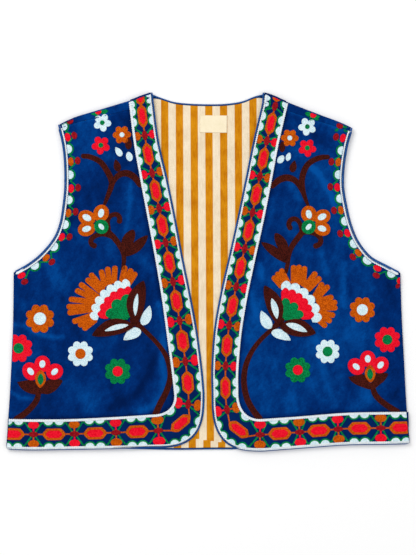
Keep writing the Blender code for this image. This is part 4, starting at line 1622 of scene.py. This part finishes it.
LEFT_FIELD = (
    leaf(97.4, 113.6, 90.2, 112.8, 5), leaf(97.8, 113, 95.4, 117.2, 4.2),
    leaf(99.8, 112.6, 104.6, 107.6, 5), leaf(100.4, 112.8, 108.6, 111.2, 5),
    leaf(67.6, 122.8, 60.4, 125.2, 2.8, 0.7), Eye(98.6, 112.1, 2.9, 1.1, 20, RED),
    Eye(70.5, 121.6, 2.9, 1.2, 30, DARK_RED), Blossom(102.6, 123.1, 5, 65, 5.2, 3.4, 2.4, WHITE, GREEN),
    Blossom(122.2, 135.2, 6, 62, 5.5, 3.3, 2.5, ORANGE, WHITE),
    Blossom(101.2, 145.6, 5, 48, 5.3, 3.5, 2.5, RED, GREEN),
    Drop(121.8, 156.4, 115.7, 147.6, 6.2, WHITE, 0.75, 0.7),
    Drop(130.8, 161.4, 128.2, 152.2, 6.6, WHITE, 0.9, 0.55),
    Drop(118.8, 171.9, 115.8, 159.6, 7.2, BROWN, 0.72, 0.8),
    Drop(128.8, 149.8, 128.6, 137.6, 6.8, BROWN, 0.8, 0.6),
    Stem(((83, 156.3, 4.6), (90.7, 157.3, 5.2), (100.7, 162.3, 5.6), (107.9, 172.3, 5.8),
        (111.9, 181.2, 6), (111.2, 187.4, 5.4), (107.9, 196.6, 4.4), (103.8, 206.4, 2.6))),
    Stem(((110.6, 188.4, 4.2), (115, 179.6, 5), (120.7, 174.4, 6), (127.9, 173.7, 6.6), (135, 178, 6.4),
        (140.2, 185.6, 4.8))), Eye(101.4, 213.4, 7.8, 1.12, 70, ORANGE, 3, 1.5, 75),
    Eye(87.2, 217.8, 7.3, 1.22, -22, ORANGE, 3.2, 1.5, -28),
    Eye(86.9, 229, 7.3, 1.22, 18, ORANGE, 3, 1.55, 18),
    Eye(101.6, 226.8, 7.1, 1.06, -50, GREEN, 2.3, 1.6, -48, 0.0008),
    Stem(((108.8, 229, 4.6), (107.9, 222.4, 4.4), (108.8, 218.6, 4.4), (112.1, 215.3, 4.6),
        (117.1, 214.6, 4.8), (119.8, 217.8, 5), (119.6, 221.8, 5.2))),
    Stem(((112.4, 237, 4.4), (105, 234.6, 4.2), (97, 235.3, 4.6), (91.6, 239.4, 5), (91.8, 244, 5.2),
        (95, 246, 5.4))),
    Stem(((106.6, 224, 3.4), (108.6, 231.6, 5.4), (114.6, 238.2, 5.8), (119.6, 245, 5.4),
        (123.4, 253, 4.8), (124.2, 261, 4.2), (123, 269, 3.8))),
    Drop(124.2, 256.6, 133.6, 229.8, 11.8, BROWN, 1.25, 0.55, bend=0.06),
    Drop(124.4, 256.4, 148, 235.4, 10, BROWN, 1, 0.7, bend=-0.03),
    Fan(131.1, 320, ((121.8, 281.6, 125, 267.6), (125.4, 282, 131, 270.4), (129, 283.4, 135.2, 273.8),
        (104.8, 285, 101.8, 271.6), (109.8, 284, 108, 268.8), (114.4, 281.6, 115.2, 267.8),
        (103, 288, 91.6, 274.9), (100.4, 291, 87.9, 279.9), (97.8, 296.6, 81.4, 284.6),
        (96, 299.6, 77.4, 290.6), (94.6, 302, 71.2, 299.2), (93.4, 306.6, 68.9, 306.6),
        (93, 309.2, 69.8, 312.6), (91.6, 315.4, 74.6, 321.2), (93, 317.6, 80.4, 324.8),
        (95.2, 320, 84.8, 328.2)), (Lobes(32, 38.4, 41.6, 7, 91, 180, WHITE),
        Lobes(21.5, 31, 34, 6, 87, 177, RED), Lobes(3, 22.3, 26.2, 3, 86, 178, GREEN, 6))),
    Stem(((131.4, 319.6, 4), (135.6, 322.6, 7), (142.1, 327.9, 4.6), (156.4, 342.1, 4.4),
        (165, 353.8, 4.8), (169.6, 366.4, 5.4), (170.2, 378.4, 5.8), (166.6, 390.9, 6),
        (160.2, 403.6, 6.2), (155.2, 415, 6.4))),
    Drop(135.5, 323.5, 143.6, 280.7, 18.5, BROWN, 0.95, 0.72, 0.0017, 0.08),
    Drop(134.5, 325.3, 92.3, 335.3, 16.5, BROWN, 0.92, 0.75, 0.0017, -0.078),
    Drop(135.5, 315.7, 137.7, 293.5, 4.8, WHITE, 1, 0.7, 0.0022, 0.03),
    Drop(128.6, 324.8, 105, 330.7, 5.2, WHITE, 0.9, 0.7, 0.0022, -0.03),
    Drop(142.6, 325, 150, 305.5, 10, WHITE, 0.72, 0.75, 0.0002, -0.04),
    Drop(141, 330, 123.6, 339.8, 11, WHITE, 0.72, 0.75, 0.0002, -0.06),
    rosette(40.3, 318.6, 14, 6.3, ORANGE, WHITE), rosette(18.9, 348.1, 13.6, 5.2, RED, GREEN),
    rosette(80.7, 353.6, 12.4, 5.2, WHITE, ORANGE), rosette(117.9, 371.1, 12.6, 5.1, GREEN, RED),
    Shape(((17.5, 381.8), (24, 380.6), (31, 379.6), (36, 381.4), (41, 383), (46, 381.2), (50.8, 378.6),
        (56.5, 378.6), (62.8, 380.2), (59.6, 386), (54.6, 391), (48.6, 393.8), (41.6, 393.4),
        (36.4, 394.2), (30.4, 393.2), (24.4, 390.4), (20.2, 386.4)), ((22.5, 384.2), (30, 387),
        (41, 388.4), (51, 386.2), (58, 382.8)), BROWN), Eye(31, 371.2, 8, 1.16, -62, RED, 2.9, 1.45, -52),
    Eye(42.8, 363.8, 7.9, 1.06, 80, RED, 3.1, 1.25, 80), Eye(55, 371.5, 7.9, 1.1, 30, RED, 2.8, 1.45, 44),
    Drop(40.5, 387.8, 41.2, 369.6, 11.2, ORANGE, 1.05, 0.7, 0.0006),
    Drop(40.8, 384.6, 41.1, 373.4, 6, GREEN, 1, 0.6, 0.0011),
    Stem(((38.8, 393, 5), (37.2, 399.5, 5.8), (32.3, 406.4, 5.8), (25.2, 413.2, 6), (16.5, 419, 6.2))),
)
RIGHT_FIELD = (
    leaf(312.2, 116.2, 304.6, 113.4, 5), leaf(312.4, 116.8, 309.8, 121.6, 4.6),
    leaf(313.8, 116, 320.4, 116.4, 5), leaf(313.6, 116.8, 318.4, 120.6, 4.6),
    leaf(342, 127.6, 347.6, 126.6, 3.6, 0.7), leaf(343, 130.2, 347.8, 131.8, 3.2, 0.7),
    leaf(338.4, 129, 334.4, 131.6, 3.2, 0.7), Eye(313, 115.5, 2.9, 1.1, 20, RED),
    Eye(339.4, 126.2, 2.9, 1.2, -30, DARK_RED), Eye(399.6, 280.6, 3, 1.2, 60, RED),
    Eye(397.4, 286, 2, 1.3, 60, DARK_RED), Blossom(307, 127.1, 5, 115, 5.2, 3.4, 2.4, WHITE, GREEN),
    Blossom(289.5, 138.4, 6, 58, 5.3, 3.2, 2.5, ORANGE, WHITE),
    Blossom(307, 148.3, 5, 132, 5.2, 3.4, 2.5, RED, GREEN),
    Drop(277.9, 163.2, 283.4, 156, 6.4, WHITE, 0.9, 0.55),
    Drop(286.9, 161.2, 289.4, 153, 5.2, WHITE, 0.9, 0.6),
    Drop(291.8, 172.6, 294.4, 160.8, 7, BROWN, 0.72, 0.8),
    Drop(281.9, 152.6, 282.2, 141.4, 5.8, BROWN, 0.8, 0.6),
    Stem(((327.8, 157.3, 4.6), (320.4, 157.9, 5.2), (312, 161.2, 5.6), (305.6, 167.4, 5.8),
        (301.8, 178.4, 6), (302.2, 188.6, 5.4), (304.6, 197.4, 4.2), (308.2, 206.6, 2.6))),
    Stem(((302.4, 192.4, 4.2), (298.4, 184.8, 5.2), (293.4, 179.8, 6), (286, 177.9, 6.6),
        (278.6, 180.4, 6.4), (272, 186.6, 4.8))), Eye(308.6, 214.4, 7.7, 1.12, 105, ORANGE, 3, 1.5, 105),
    Eye(321.8, 217, 7.2, 1.2, 25, ORANGE, 3.1, 1.5, 28),
    Eye(321.7, 228.7, 7.2, 1.2, -20, ORANGE, 3, 1.5, -20),
    Eye(308.4, 227, 7, 1.06, 48, GREEN, 2.3, 1.6, 48, 0.0008),
    Stem(((300.6, 233.4, 4.2), (307.4, 232.4, 4.4), (315, 233.8, 4.8), (320.2, 238.4, 5),
        (319.6, 243.8, 5.2), (315, 246.2, 5.4))),
    Stem(((301.6, 231.4, 4.4), (299.8, 223.6, 4.4), (295.4, 219, 4.6), (290.4, 220.2, 4.8),
        (288.6, 224.6, 5), (290, 228.3, 5.2))),
    Stem(((304.8, 224, 3.4), (302.2, 231.8, 5.4), (297, 238.8, 5.8), (291.6, 246.6, 5.4),
        (288.6, 254.8, 4.8), (287.4, 264, 4.2), (285.6, 272.4, 3.8))),
    Drop(286.8, 261.4, 275.4, 233.2, 10.8, BROWN, 1.25, 0.55, bend=-0.06),
    Drop(286.8, 263, 261, 242.2, 9.2, BROWN, 1, 0.75, bend=-0.03),
    Fan(281.4, 320.6, ((281, 286, 273.8, 277.6), (284.6, 285.4, 277.4, 273.8),
        (287.8, 283.2, 281.4, 270.6), (293.4, 282.6, 293.4, 267.2), (298.2, 283.4, 298.8, 266.8),
        (303, 284.6, 304.2, 268.2), (305.2, 286, 314.8, 273.6), (308, 289.4, 319, 278.4),
        (314.6, 296.4, 321.6, 284.2), (317.4, 297.4, 327.2, 286.8), (317.6, 301, 331, 297.2),
        (318.4, 304.4, 334.8, 302.4), (319, 308, 335, 307.6), (319.6, 312.4, 332.6, 315),
        (319, 315.6, 329.4, 320.6), (317.6, 319, 324.6, 325.4)), (Lobes(29.5, 37, 40.4, 6, 91, -3, WHITE),
        Lobes(18.5, 30.8, 33.2, 6, 91, 3, RED), Lobes(3, 19, 23, 3, 93, 4, GREEN, 6))),
    Stem(((282.8, 319.4, 4), (278.6, 322.8, 7), (272.6, 328.4, 4.6), (261.2, 338.9, 4.4),
        (252, 350.9, 4.8), (245.8, 365, 5.4), (243.8, 380.9, 5.8), (246.4, 396.7, 6), (252.2, 408.7, 6.2),
        (259.6, 418.6, 6.4))), Drop(278.7, 324.4, 264.4, 285.5, 16.4, BROWN, 0.95, 0.72, 0.0017, -0.065),
    Drop(279.4, 325.9, 315.5, 333, 17.5, BROWN, 0.92, 0.75, 0.0017, 0.05),
    Drop(276.9, 318.7, 271.4, 298.2, 6.6, WHITE, 1, 0.7, 0.0022, -0.03),
    Drop(285.9, 323.7, 306.9, 331.6, 6.6, WHITE, 0.9, 0.7, 0.0022, 0.03),
    Drop(270.4, 328.6, 261, 310.6, 10.5, WHITE, 0.72, 0.75, 0.0002, 0.04),
    Drop(271.4, 331.4, 290.6, 340.2, 9.8, WHITE, 0.72, 0.75, 0.0002, 0.06),
    rosette(362, 309.7, 12.5, 5.6, ORANGE, WHITE), rosette(387, 339.5, 12.5, 5, RED, GREEN),
    rosette(327.3, 351.3, 11.7, 5, WHITE, GREEN), rosette(297.6, 369.7, 12.5, 5, GREEN, RED),
    Shape(((347.9, 376.8), (355, 375), (361.6, 373.8), (365.6, 375.6), (370.2, 376.8), (374.2, 374.8),
        (377.6, 372.6), (382.6, 372.6), (387.8, 373.6), (384.4, 380), (379, 384.6), (374.6, 388.2),
        (369.6, 389.2), (363.4, 387.4), (356.2, 384.6), (350.8, 380.8)), ((353, 378.4), (361, 381),
        (370.2, 382.8), (378, 379.2), (384, 375.8)), BROWN),
    Eye(355.9, 366.4, 7.8, 1.16, -44, RED, 2.8, 1.45, -40),
    Eye(367.4, 358.6, 7.7, 1.06, 90, RED, 3, 1.25, 90),
    Eye(380.2, 364.8, 7.8, 1.12, 50, RED, 2.8, 1.45, 52),
    Drop(370.4, 382.4, 369.2, 364.6, 11, ORANGE, 1.05, 0.7, 0.0006),
    Drop(370.1, 379.4, 369.3, 368.4, 6, GREEN, 1, 0.6, 0.0011),
    Stem(((372.4, 387.6, 5), (374.8, 394.2, 5.8), (380, 400, 5.8), (387.8, 406, 6), (397, 411.6, 6.2))),
)
FIELD = {Side.LEFT: LEFT_FIELD, Side.RIGHT: RIGHT_FIELD}


class Corner(NamedTuple):
    """What lies between the two knots at the lower corner: the scallops' places and the oval's."""

    after: int
    edge: tuple[tuple[float, float], ...]
    inner: tuple[tuple[float, float], ...]
    x: float
    y: float
    turn: float


class NeckEnd(NamedTuple):
    """What shows of the pattern over the shoulder's fold: a cut oval and single scallops."""

    x: float
    y: float
    length: float
    knot: bool
    edge: tuple[tuple[float, float], ...]
    inner: tuple[tuple[float, float], ...]


# The knots of each band, from the shoulder to the side
BORDER = {
    Side.LEFT: (
        (139.8, 97.6), (146, 135.6), (152.7, 173.3), (158.7, 208.6), (165.8, 242.7), (174.1, 281.4),
        (181.2, 320.3), (185.5, 361.1), (189.2, 404), (158.4, 429.8), (116.2, 431.8), (74.7, 432.1),
        (33.9, 432.5), (-7, 433.5),
    ),
    Side.RIGHT: (
        (276.4, 107.2), (267.8, 141.5), (261.2, 177), (252.7, 212.7), (245.2, 248.9), (236.9, 286.9),
        (230, 325.3), (226, 365.8), (227.7, 409.1), (259.9, 433.7), (299.4, 430.6), (337.9, 428.6),
        (380.4, 426.5), (420, 425),
    ),
}
CORNERS = {
    Side.LEFT: Corner(8, ((198.2, 420.9), (193.6, 431.4), (185.5, 439.5), (174.5, 441.4)),
        ((171.8, 412.3),), 180.8, 422.9, 40),
    Side.RIGHT: Corner(8, ((218.6, 424.6), (223, 435.4), (231.2, 442.6), (242.4, 445.2)),
        ((245.2, 416.4),), 238.6, 429.2, 143),
}
NECK_ENDS = {
    Side.LEFT: NeckEnd(139.8, 97.5, 8.5, False, ((148.9, 95.4), (149.9, 101.6)), ((131.8, 105.2),)),
    Side.RIGHT: NeckEnd(277.4, 96.6, 6, True, ((266.6, 98.6), (267.9, 105)), ((285, 104.8),)),
}


@dataclass
class BorderPattern:
    """The repeat on a band: knots with balls, long ovals between them, scallops and a green line."""

    cut: Cut
    needle: Needle
    white: dict[int, Rail] = field(init=False)
    middle: Rail = field(init=False)
    oval: float = 0.0172
    corner_oval: tuple[float, float] = (0.0180, 0.0080)
    corner_reach: float = 0.0165
    neck_oval_width: float = 0.0062
    scallop: float = 0.0067
    scallop_apart: float = 0.00775
    heart: float = 0.0040
    line_width: float = 0.0021
    line_height: float = 0.0006

    def __post_init__(self) -> None:
        """Draws the band's white lines, by the vest's edge (-1) and inside (1), and its middle."""
        inner = [p + (q - p).normalized() * INNER_BRAID_INSET for p, q in zip(self.cut.inner, self.cut.outer)]
        outer = self.cut.inset_edge(BRAID_INSET)
        self.white = {-1: Rail(outer, self.cut.side), 1: Rail(inner, self.cut.side)}
        middle = [Vector((*((a + b) / 2), (b - a).length / 2)) for a, b in zip(outer, inner)]
        for _ in range(30):
            inside = [(a + b * 2 + c) / 4 for a, b, c in zip(middle, middle[1:], middle[2:])]
            middle = [middle[0], *inside, middle[-1]]
        self.middle = Rail(middle, self.cut.side)

    def half(self, s: float) -> float:
        """Half the distance between the white lines at a distance along the band."""
        return self.middle.point(s).z

    def sew(self) -> None:
        """Sews the whole band."""
        corner = CORNERS[self.cut.side]
        end = NECK_ENDS[self.cut.side]
        places = [self.middle.nearest(at(*knot)) for knot in BORDER[self.cut.side]]
        for k, s in enumerate(places):
            if k:
                self.sew_knot(s, (k % 2 == 1) == (self.cut.side is Side.LEFT))
            elif end.knot:
                self.sew_heart(s)
            if k == corner.after:
                self.sew_corner(corner, s, places[k + 1])
            elif k + 1 < len(places):
                self.sew_repeat(s, places[k + 1])
        self.sew_neck_end(end, places[0])

    def sew_repeat(self, s: float, t: float) -> None:
        """Sews what lies between two knots, at their distances along the band."""
        middle = (s + t) / 2
        self.sew_thin([self.middle.spot(s + (t - s) * k / 14) for k in range(1, 14)])
        self.sew_oval(lambda a, w: self.middle.spot(middle + a, w), self.oval, 0.43 * self.half(middle))
        for sign, rail in self.white.items():
            centre = rail.nearest(self.middle.spot(middle))
            self.sew_scallops(sign, [centre - self.scallop_apart, centre + self.scallop_apart], s, t)

    def sew_corner(self, corner: Corner, s: float, t: float) -> None:
        """Sews what lies between the two knots at the lower corner, at their distances along the band."""
        place, way = at(corner.x, corner.y), heading(corner.turn)
        across = Vector((-way.y, way.x))
        self.sew_oval(lambda a, w: place + way * a + across * w, *self.corner_oval)
        for knot_place, sign in ((s, 1), (t, -1)):
            tip = place + way * self.corner_reach * sign
            self.sew_thin([self.middle.spot(knot_place).lerp(tip, k / 6) for k in range(7)])
        for sign, spots in ((-1, corner.edge), (1, corner.inner)):
            self.sew_scallops(sign, [self.white[sign].nearest(at(*spot)) for spot in spots], s, t)

    def sew_neck_end(self, end: NeckEnd, first: float) -> None:
        """Sews what shows of the pattern between the first knot and the shoulder's fold."""
        s = self.middle.nearest(at(end.x, end.y))
        self.sew_oval(lambda a, w: self.middle.spot(s + a, w), end.length * PIXEL, self.neck_oval_width)
        if end.knot:
            self.sew_thin([self.middle.spot(s + (first - s) * k / 14) for k in range(1, 14)])
        for sign, spots in ((-1, end.edge), (1, end.inner)):
            rail = self.white[sign]
            for spot in spots:
                self.sew_scallop(rail, sign, rail.nearest(at(*spot)), 0.0040 if len(spots) > 1 else 0.0058)
            inner = rail.nearest(at(*spots[-1]))
            path = [(inner - 0.0080, 0.0062), (inner, 0.0080), (inner + 0.0052, 0.0058),
                    (inner + 0.0086, 0.0030)]
            self.sew_green([rail.spot(a, -sign * w) for a, w in path])

    def sew_heart(self, s: float) -> None:
        """Sews the dark middle of a knot at a distance along the band."""
        self.needle.disc(self.middle.spot(s), self.heart, DARK_RED, 1.75, self.middle.turn(s), 0.0004)

    def sew_knot(self, s: float, red_at_edge: bool) -> None:
        """Sews a knot with its two balls.

        Args:
            s: its distance along the band.
            red_at_edge: whether the red ball is the one towards the vest's edge.
        """
        turn = self.middle.turn(s)
        half = self.half(s)
        for sign in (-1, 1):
            thread = RED if red_at_edge == (sign < 0) else ORANGE
            path = [Vector((*self.middle.spot(s, sign * half * 0.6 * k / 5), 0.0023)) for k in range(6)]
            self.needle.ribbon(path, thread, 1, self.line_height)
            ball = self.middle.spot(s, sign * 0.69 * half)
            self.needle.disc(ball, 0.288 * half, thread, 1.40, turn, OVER_CLOTH)
        self.sew_heart(s)

    def sew_thin(self, spots: Line) -> None:
        """Sews a thin orange line through spots."""
        self.needle.ribbon([Vector((*p, self.line_width)) for p in spots], ORANGE, 1, self.line_height)

    def sew_oval(self, place: Callable[[float, float], Vector], half_length: float,
                 half_width: float) -> None:
        """Sews a long oval with tapered ends.

        Args:
            place: the spot of a distance along and a distance across from its middle.
            half_length: half its length.
            half_width: half its width.
        """
        for length, width, thread, lift, rows, ragged in (
                (half_length, half_width, ORANGE, 0.0002, 3, 0.0),
                (0.71 * half_length, 0.64 * half_width, RED, 0.0006, 2, 0.0004)):
            shares = (1.0, 0.93, 0.83, 0.72, 0.60, 0.45, 0.30, 0.15, 0.0)
            shares = [*shares, *(-a for a in reversed(shares[:-1]))]
            upper, lower = [], []
            for k, share in enumerate(shares):
                wide = width * min(1.0, (1 - abs(share)) / 0.42) ** 0.75
                wide += ragged * (-1) ** k * (abs(share) < 0.9)
                upper.append((share * length, wide))
                lower.append((share * length, -wide))
            outline = upper + lower[-2:0:-1]
            self.needle.fill([place(a, w) for a, w in outline], [place(a * 0.6, 0.0) for a, _ in outline],
                             thread, rows, lift=lift)

    def sew_scallop(self, rail: Rail, sign: int, centre: float, size: float) -> None:
        """Sews one white scallop that stands on a white line.

        Args:
            rail: the white line.
            sign: -1 by the vest's edge, 1 inside.
            centre: its distance along the white line.
            size: half its width.
        """
        shape = []
        for k in range(13):
            angle = math.pi * k / 12
            rise = self.scallop * math.sin(angle) ** 0.85
            shape.append(rail.spot(centre + size * math.cos(angle), -sign * rise))
        shape += [rail.spot(centre + size * k) for k in (-0.5, 0.0, 0.5)]
        core = [rail.spot(centre, -sign * 0.0026)] * len(shape)
        self.needle.fill(shape, core, WHITE, 3, lift=OVER_CLOTH)

    def sew_scallops(self, sign: int, centres: Sequence[float], s: float, t: float) -> None:
        """Sews the scallops beside an oval and the green line round them, from knot to knot.

        Args:
            sign: -1 by the vest's edge, 1 inside.
            centres: the scallops' distances along the white line.
            s: the distance along the band's middle of the knot before them.
            t: that of the knot after them.
        """
        rail = self.white[sign]
        for centre in centres:
            self.sew_scallop(rail, sign, centre, self.scallop)
        hug = []
        for centre in centres:
            for angle in (150, 120, 90, 60, 30):
                a = math.radians(angle)
                hug.append(rail.spot(centre + 0.0080 * math.cos(a), -sign * 0.0078 * math.sin(a)))
            hug.append(rail.spot(centre + self.scallop_apart, -sign * 0.0014))
        start = self.middle.spot(s + 0.0034, sign * 0.0036)
        end = self.middle.spot(t - 0.0034, sign * 0.0036)
        first = rail.spot(centres[0] - 0.0092, -sign * 0.0030)
        last = rail.spot(centres[-1] + 0.0092, -sign * 0.0030)
        sag = [rail.spot(rail.nearest(a.lerp(b, 0.55)), -sign * w) for a, b, w in
               ((start, first, 0.43 * self.half(s)), (end, last, 0.43 * self.half(t)))]
        self.sew_green([start, sag[0], first, *hug[:-1], last, sag[1], end])

    def sew_green(self, path: Line) -> None:
        """Sews the green line through spots."""
        line = spline([Vector((*p, 0.0025)) for p in path], max(6, round(span(path) / 0.0020)), 8)
        self.needle.ribbon(line, GREEN, 1, 0.0007)


# The balls and scallops along each armhole, from the shoulder, and the cycle of their threads
ARM_ROW = {
    Side.LEFT: (
        (63, 127), (66, 138), (67.9, 149.4), (69.4, 162), (69.6, 175), (69, 188.7), (68.3, 200),
        (67.4, 213), (65, 224.6), (60.3, 236.3), (54.2, 246.7), (45.5, 256.8), (35, 265.5), (20.8, 273.4),
    ),
    Side.RIGHT: (
        (343.4, 138.7), (341.4, 151), (338.8, 162.5), (338.5, 174.9), (338.8, 187.4), (340.4, 198.7),
        (342, 210), (344.3, 221.3), (347.7, 233), (352.8, 244.3), (357.4, 253.2), (366, 261.3),
        (377.5, 267.3), (391.6, 272.7),
    ),
}
ARM_THREADS = {Side.LEFT: (WHITE, RED, WHITE, ORANGE), Side.RIGHT: (RED, WHITE, ORANGE, WHITE)}
ARM_DARK = {
    Side.LEFT: (
        (73.9, 136), (77.3, 161), (76.3, 187.8), (73.7, 211.6), (69, 236.7), (52.2, 262), (23.8, 279.4),
    ),
    Side.RIGHT: (
        (336, 137.4), (331, 162), (331, 187), (334.2, 210.5), (339.4, 234), (351.3, 258), (376.2, 274.8),
    ),
}


@dataclass
class ArmholePattern:
    """The ornament round an armhole, on the velvet itself."""

    cut: Cut
    needle: Needle
    rail: Rail = field(init=False)
    ball: float = 0.0043
    ball_inset: float = 0.0094
    dark: float = 0.0042
    dark_inset: float = 0.0194
    scallop: float = 0.0063
    scallop_rise: float = 0.0072
    scallop_inset: float = 0.0058
    green_width: float = 0.0024

    def __post_init__(self) -> None:
        """Draws the armhole's edge."""
        self.rail = Rail(self.cut.line[SIDE_ROWS:], self.cut.side)

    def sew(self) -> None:
        """Sews the row along the edge, the dark balls inside it and the green line between them."""
        row = [self.rail.nearest(at(*spot)) for spot in ARM_ROW[self.cut.side]]
        darks = sorted(self.rail.nearest(at(*spot)) for spot in ARM_DARK[self.cut.side])
        for s, thread in zip(row, cycle(ARM_THREADS[self.cut.side])):
            if thread is WHITE:
                self.sew_scallop(s)
                self.sew_green(s, darks)
            else:
                ball = self.rail.spot(s, self.ball_inset)
                self.needle.disc(ball, self.ball, thread, 1.45, self.rail.turn(s))
        for s in darks:
            ball = self.rail.spot(s, self.dark_inset)
            self.needle.disc(ball, self.dark, DARK_RED, 1.3, self.rail.turn(s), 0.0003)

    def sew_scallop(self, s: float) -> None:
        """Sews one white scallop at a distance along the edge."""
        shape = []
        for k in range(13):
            angle = math.pi * k / 12
            rise = self.scallop_rise * math.sin(angle) ** 0.85
            shape.append(self.rail.spot(s + self.scallop * math.cos(angle), self.scallop_inset + rise))
        shape += [self.rail.spot(s + self.scallop * k, 0.0056) for k in (-0.5, 0.0, 0.5)]
        self.needle.fill(shape, [self.rail.spot(s, 0.0086)] * len(shape), WHITE, 3)

    def sew_green(self, s: float, darks: Sequence[float]) -> None:
        """Sews the green line that comes from one dark ball, rounds a scallop and goes to the next."""
        before = max((d for d in darks if d < s), default=s - 0.018)
        after = min((d for d in darks if d > s), default=s + 0.018)
        side = ((0.0080, 0.0078), (0.0064, 0.0112), (0.0034, 0.0137))
        path = [(before + 0.0018, 0.0172), (before + 0.42 * (s - before), 0.0104)]
        path += [(s - a, w) for a, w in side] + [(s, 0.0145)] + [(s + a, w) for a, w in reversed(side)]
        path += [(after - 0.42 * (after - s), 0.0104), (after - 0.0018, 0.0172)]
        line = [Vector((*self.rail.spot(a, w), self.green_width)) for a, w in path]
        self.needle.ribbon(spline(line, 30, 8), GREEN, 1, 0.0006)


def braid(needle: Needle, path: Line, step: float = 0.0031) -> None:
    """Sews a white line of chain stitches along a line."""
    points = even(path, max(2, round(span(path) / step)))
    for a, b in zip(points, points[1:]):
        way = (b - a).normalized()
        side = Vector((-way.y, way.x))
        turn = math.degrees(math.atan2(way.y, way.x))
        for sign in (-1, 1):
            spot = a.lerp(b, 0.5) + side * (sign * 0.00062)
            needle.disc(spot, 0.00108, BRAID, 2.4, turn + sign * 24, 0.0009, 1, 0.0009, 6)


@dataclass
class Studio:
    """A plain pale ground, soft light from all round and the camera straight above."""

    height: float = 3.0
    view_height: float = 0.8061
    view_y: float = -0.0084

    def build(self) -> None:
        """Builds the ground, the lights and the camera."""
        mesh = bmesh.new()
        bmesh.ops.create_grid(mesh, x_segments=1, y_segments=1, size=3.0)
        ground = new_object("ground", mesh)
        ground.location.z = -0.0002
        paper = bpy.data.materials.new("pale paper")
        paper.use_nodes = True
        shader = paper.node_tree.nodes["Principled BSDF"]
        shader.inputs["Base Color"].default_value = (0.99, 0.99, 0.99, 1)
        shader.inputs["Roughness"].default_value = 0.9
        shader.inputs["Specular IOR Level"].default_value = 0.1
        ground.data.materials.append(paper)

        world = bpy.data.worlds.new("studio")
        world.use_nodes = True
        world.node_tree.nodes["Background"].inputs["Color"].default_value = (1, 1, 1, 1)
        world.node_tree.nodes["Background"].inputs["Strength"].default_value = 0.72
        bpy.context.scene.world = world
        self.lamp("key", (-1.1, 1.3, 2.0), 1.2, 26.0)
        self.lamp("fill", (1.6, -0.8, 2.2), 1.6, 8.0)

        camera = bpy.data.objects.new("camera", bpy.data.cameras.new("camera"))
        camera.location = (0, self.view_y, self.height)
        camera.data.sensor_width = 36
        camera.data.lens = 36 * self.height / self.view_height
        camera.data.clip_end = 20
        bpy.context.scene.collection.objects.link(camera)
        bpy.context.scene.camera = camera
        bpy.context.scene.view_settings.view_transform = "Standard"

    def lamp(self, name: str, place: Sequence[float], size: float, power: float) -> None:
        """Adds a square soft light that points at the vest."""
        light = bpy.data.lights.new(name, "AREA")
        light.size = size
        light.energy = power
        thing = bpy.data.objects.new(name, light)
        thing.location = place
        thing.rotation_euler = (-Vector(place)).to_track_quat("-Z", "Y").to_euler()
        bpy.context.scene.collection.objects.link(thing)


def embroider(cut: Cut, back: BackPanel, front: FrontPanel, border: Border) -> None:
    """Sews the field, the border and the armhole of one front, and its white lines."""
    name = cut.side.value
    velvet = Ground(front.piece, back.piece)
    field_needle = Needle(velvet, cut)
    for motif in FIELD[cut.side]:
        motif.sew(field_needle)
    field_needle.piece(f"embroidery_field_{name}")
    arm_needle = Needle(velvet, cut)
    ArmholePattern(cut, arm_needle).sew()
    arm_needle.piece(f"embroidery_armhole_{name}")
    border_needle = Needle(Ground(border.piece, border.neck), cut)
    pattern = BorderPattern(cut, border_needle)
    pattern.sew()
    border_needle.piece(f"embroidery_border_{name}")
    line_needle = Needle(Ground(border.piece, border.neck, front.piece, back.piece), cut)
    for rail in pattern.white.values():
        braid(line_needle, [rail.spot(-0.0125), *(p.xy for p in rail.points)])
    start = SIDE_ROWS + 1
    braid(line_needle, [p - w * BRAID_INSET for p, w in zip(cut.line[start:], cut.ways[start:])])
    line_needle.piece(f"braid_{name}")


def main() -> None:
    """Builds the vest's pieces, the lowest cloth first, and the studio."""
    logging.basicConfig(level=logging.INFO)
    Studio().build()
    cuts = {side: Cut(side) for side in Side}
    back = BackPanel(cuts)
    back.build()
    bindings = Bindings(cuts)
    bindings.build_back(back.velvet_edges())
    build_label()
    for side in Side:
        front = FrontPanel(cuts[side])
        front.build()
        border = Border(cuts[side], Ground(front.piece))
        border.build()
        bindings.build_front(cuts[side], Ground(front.piece))
        embroider(cuts[side], back, front, border)


if __name__ == "__main__":
    main()
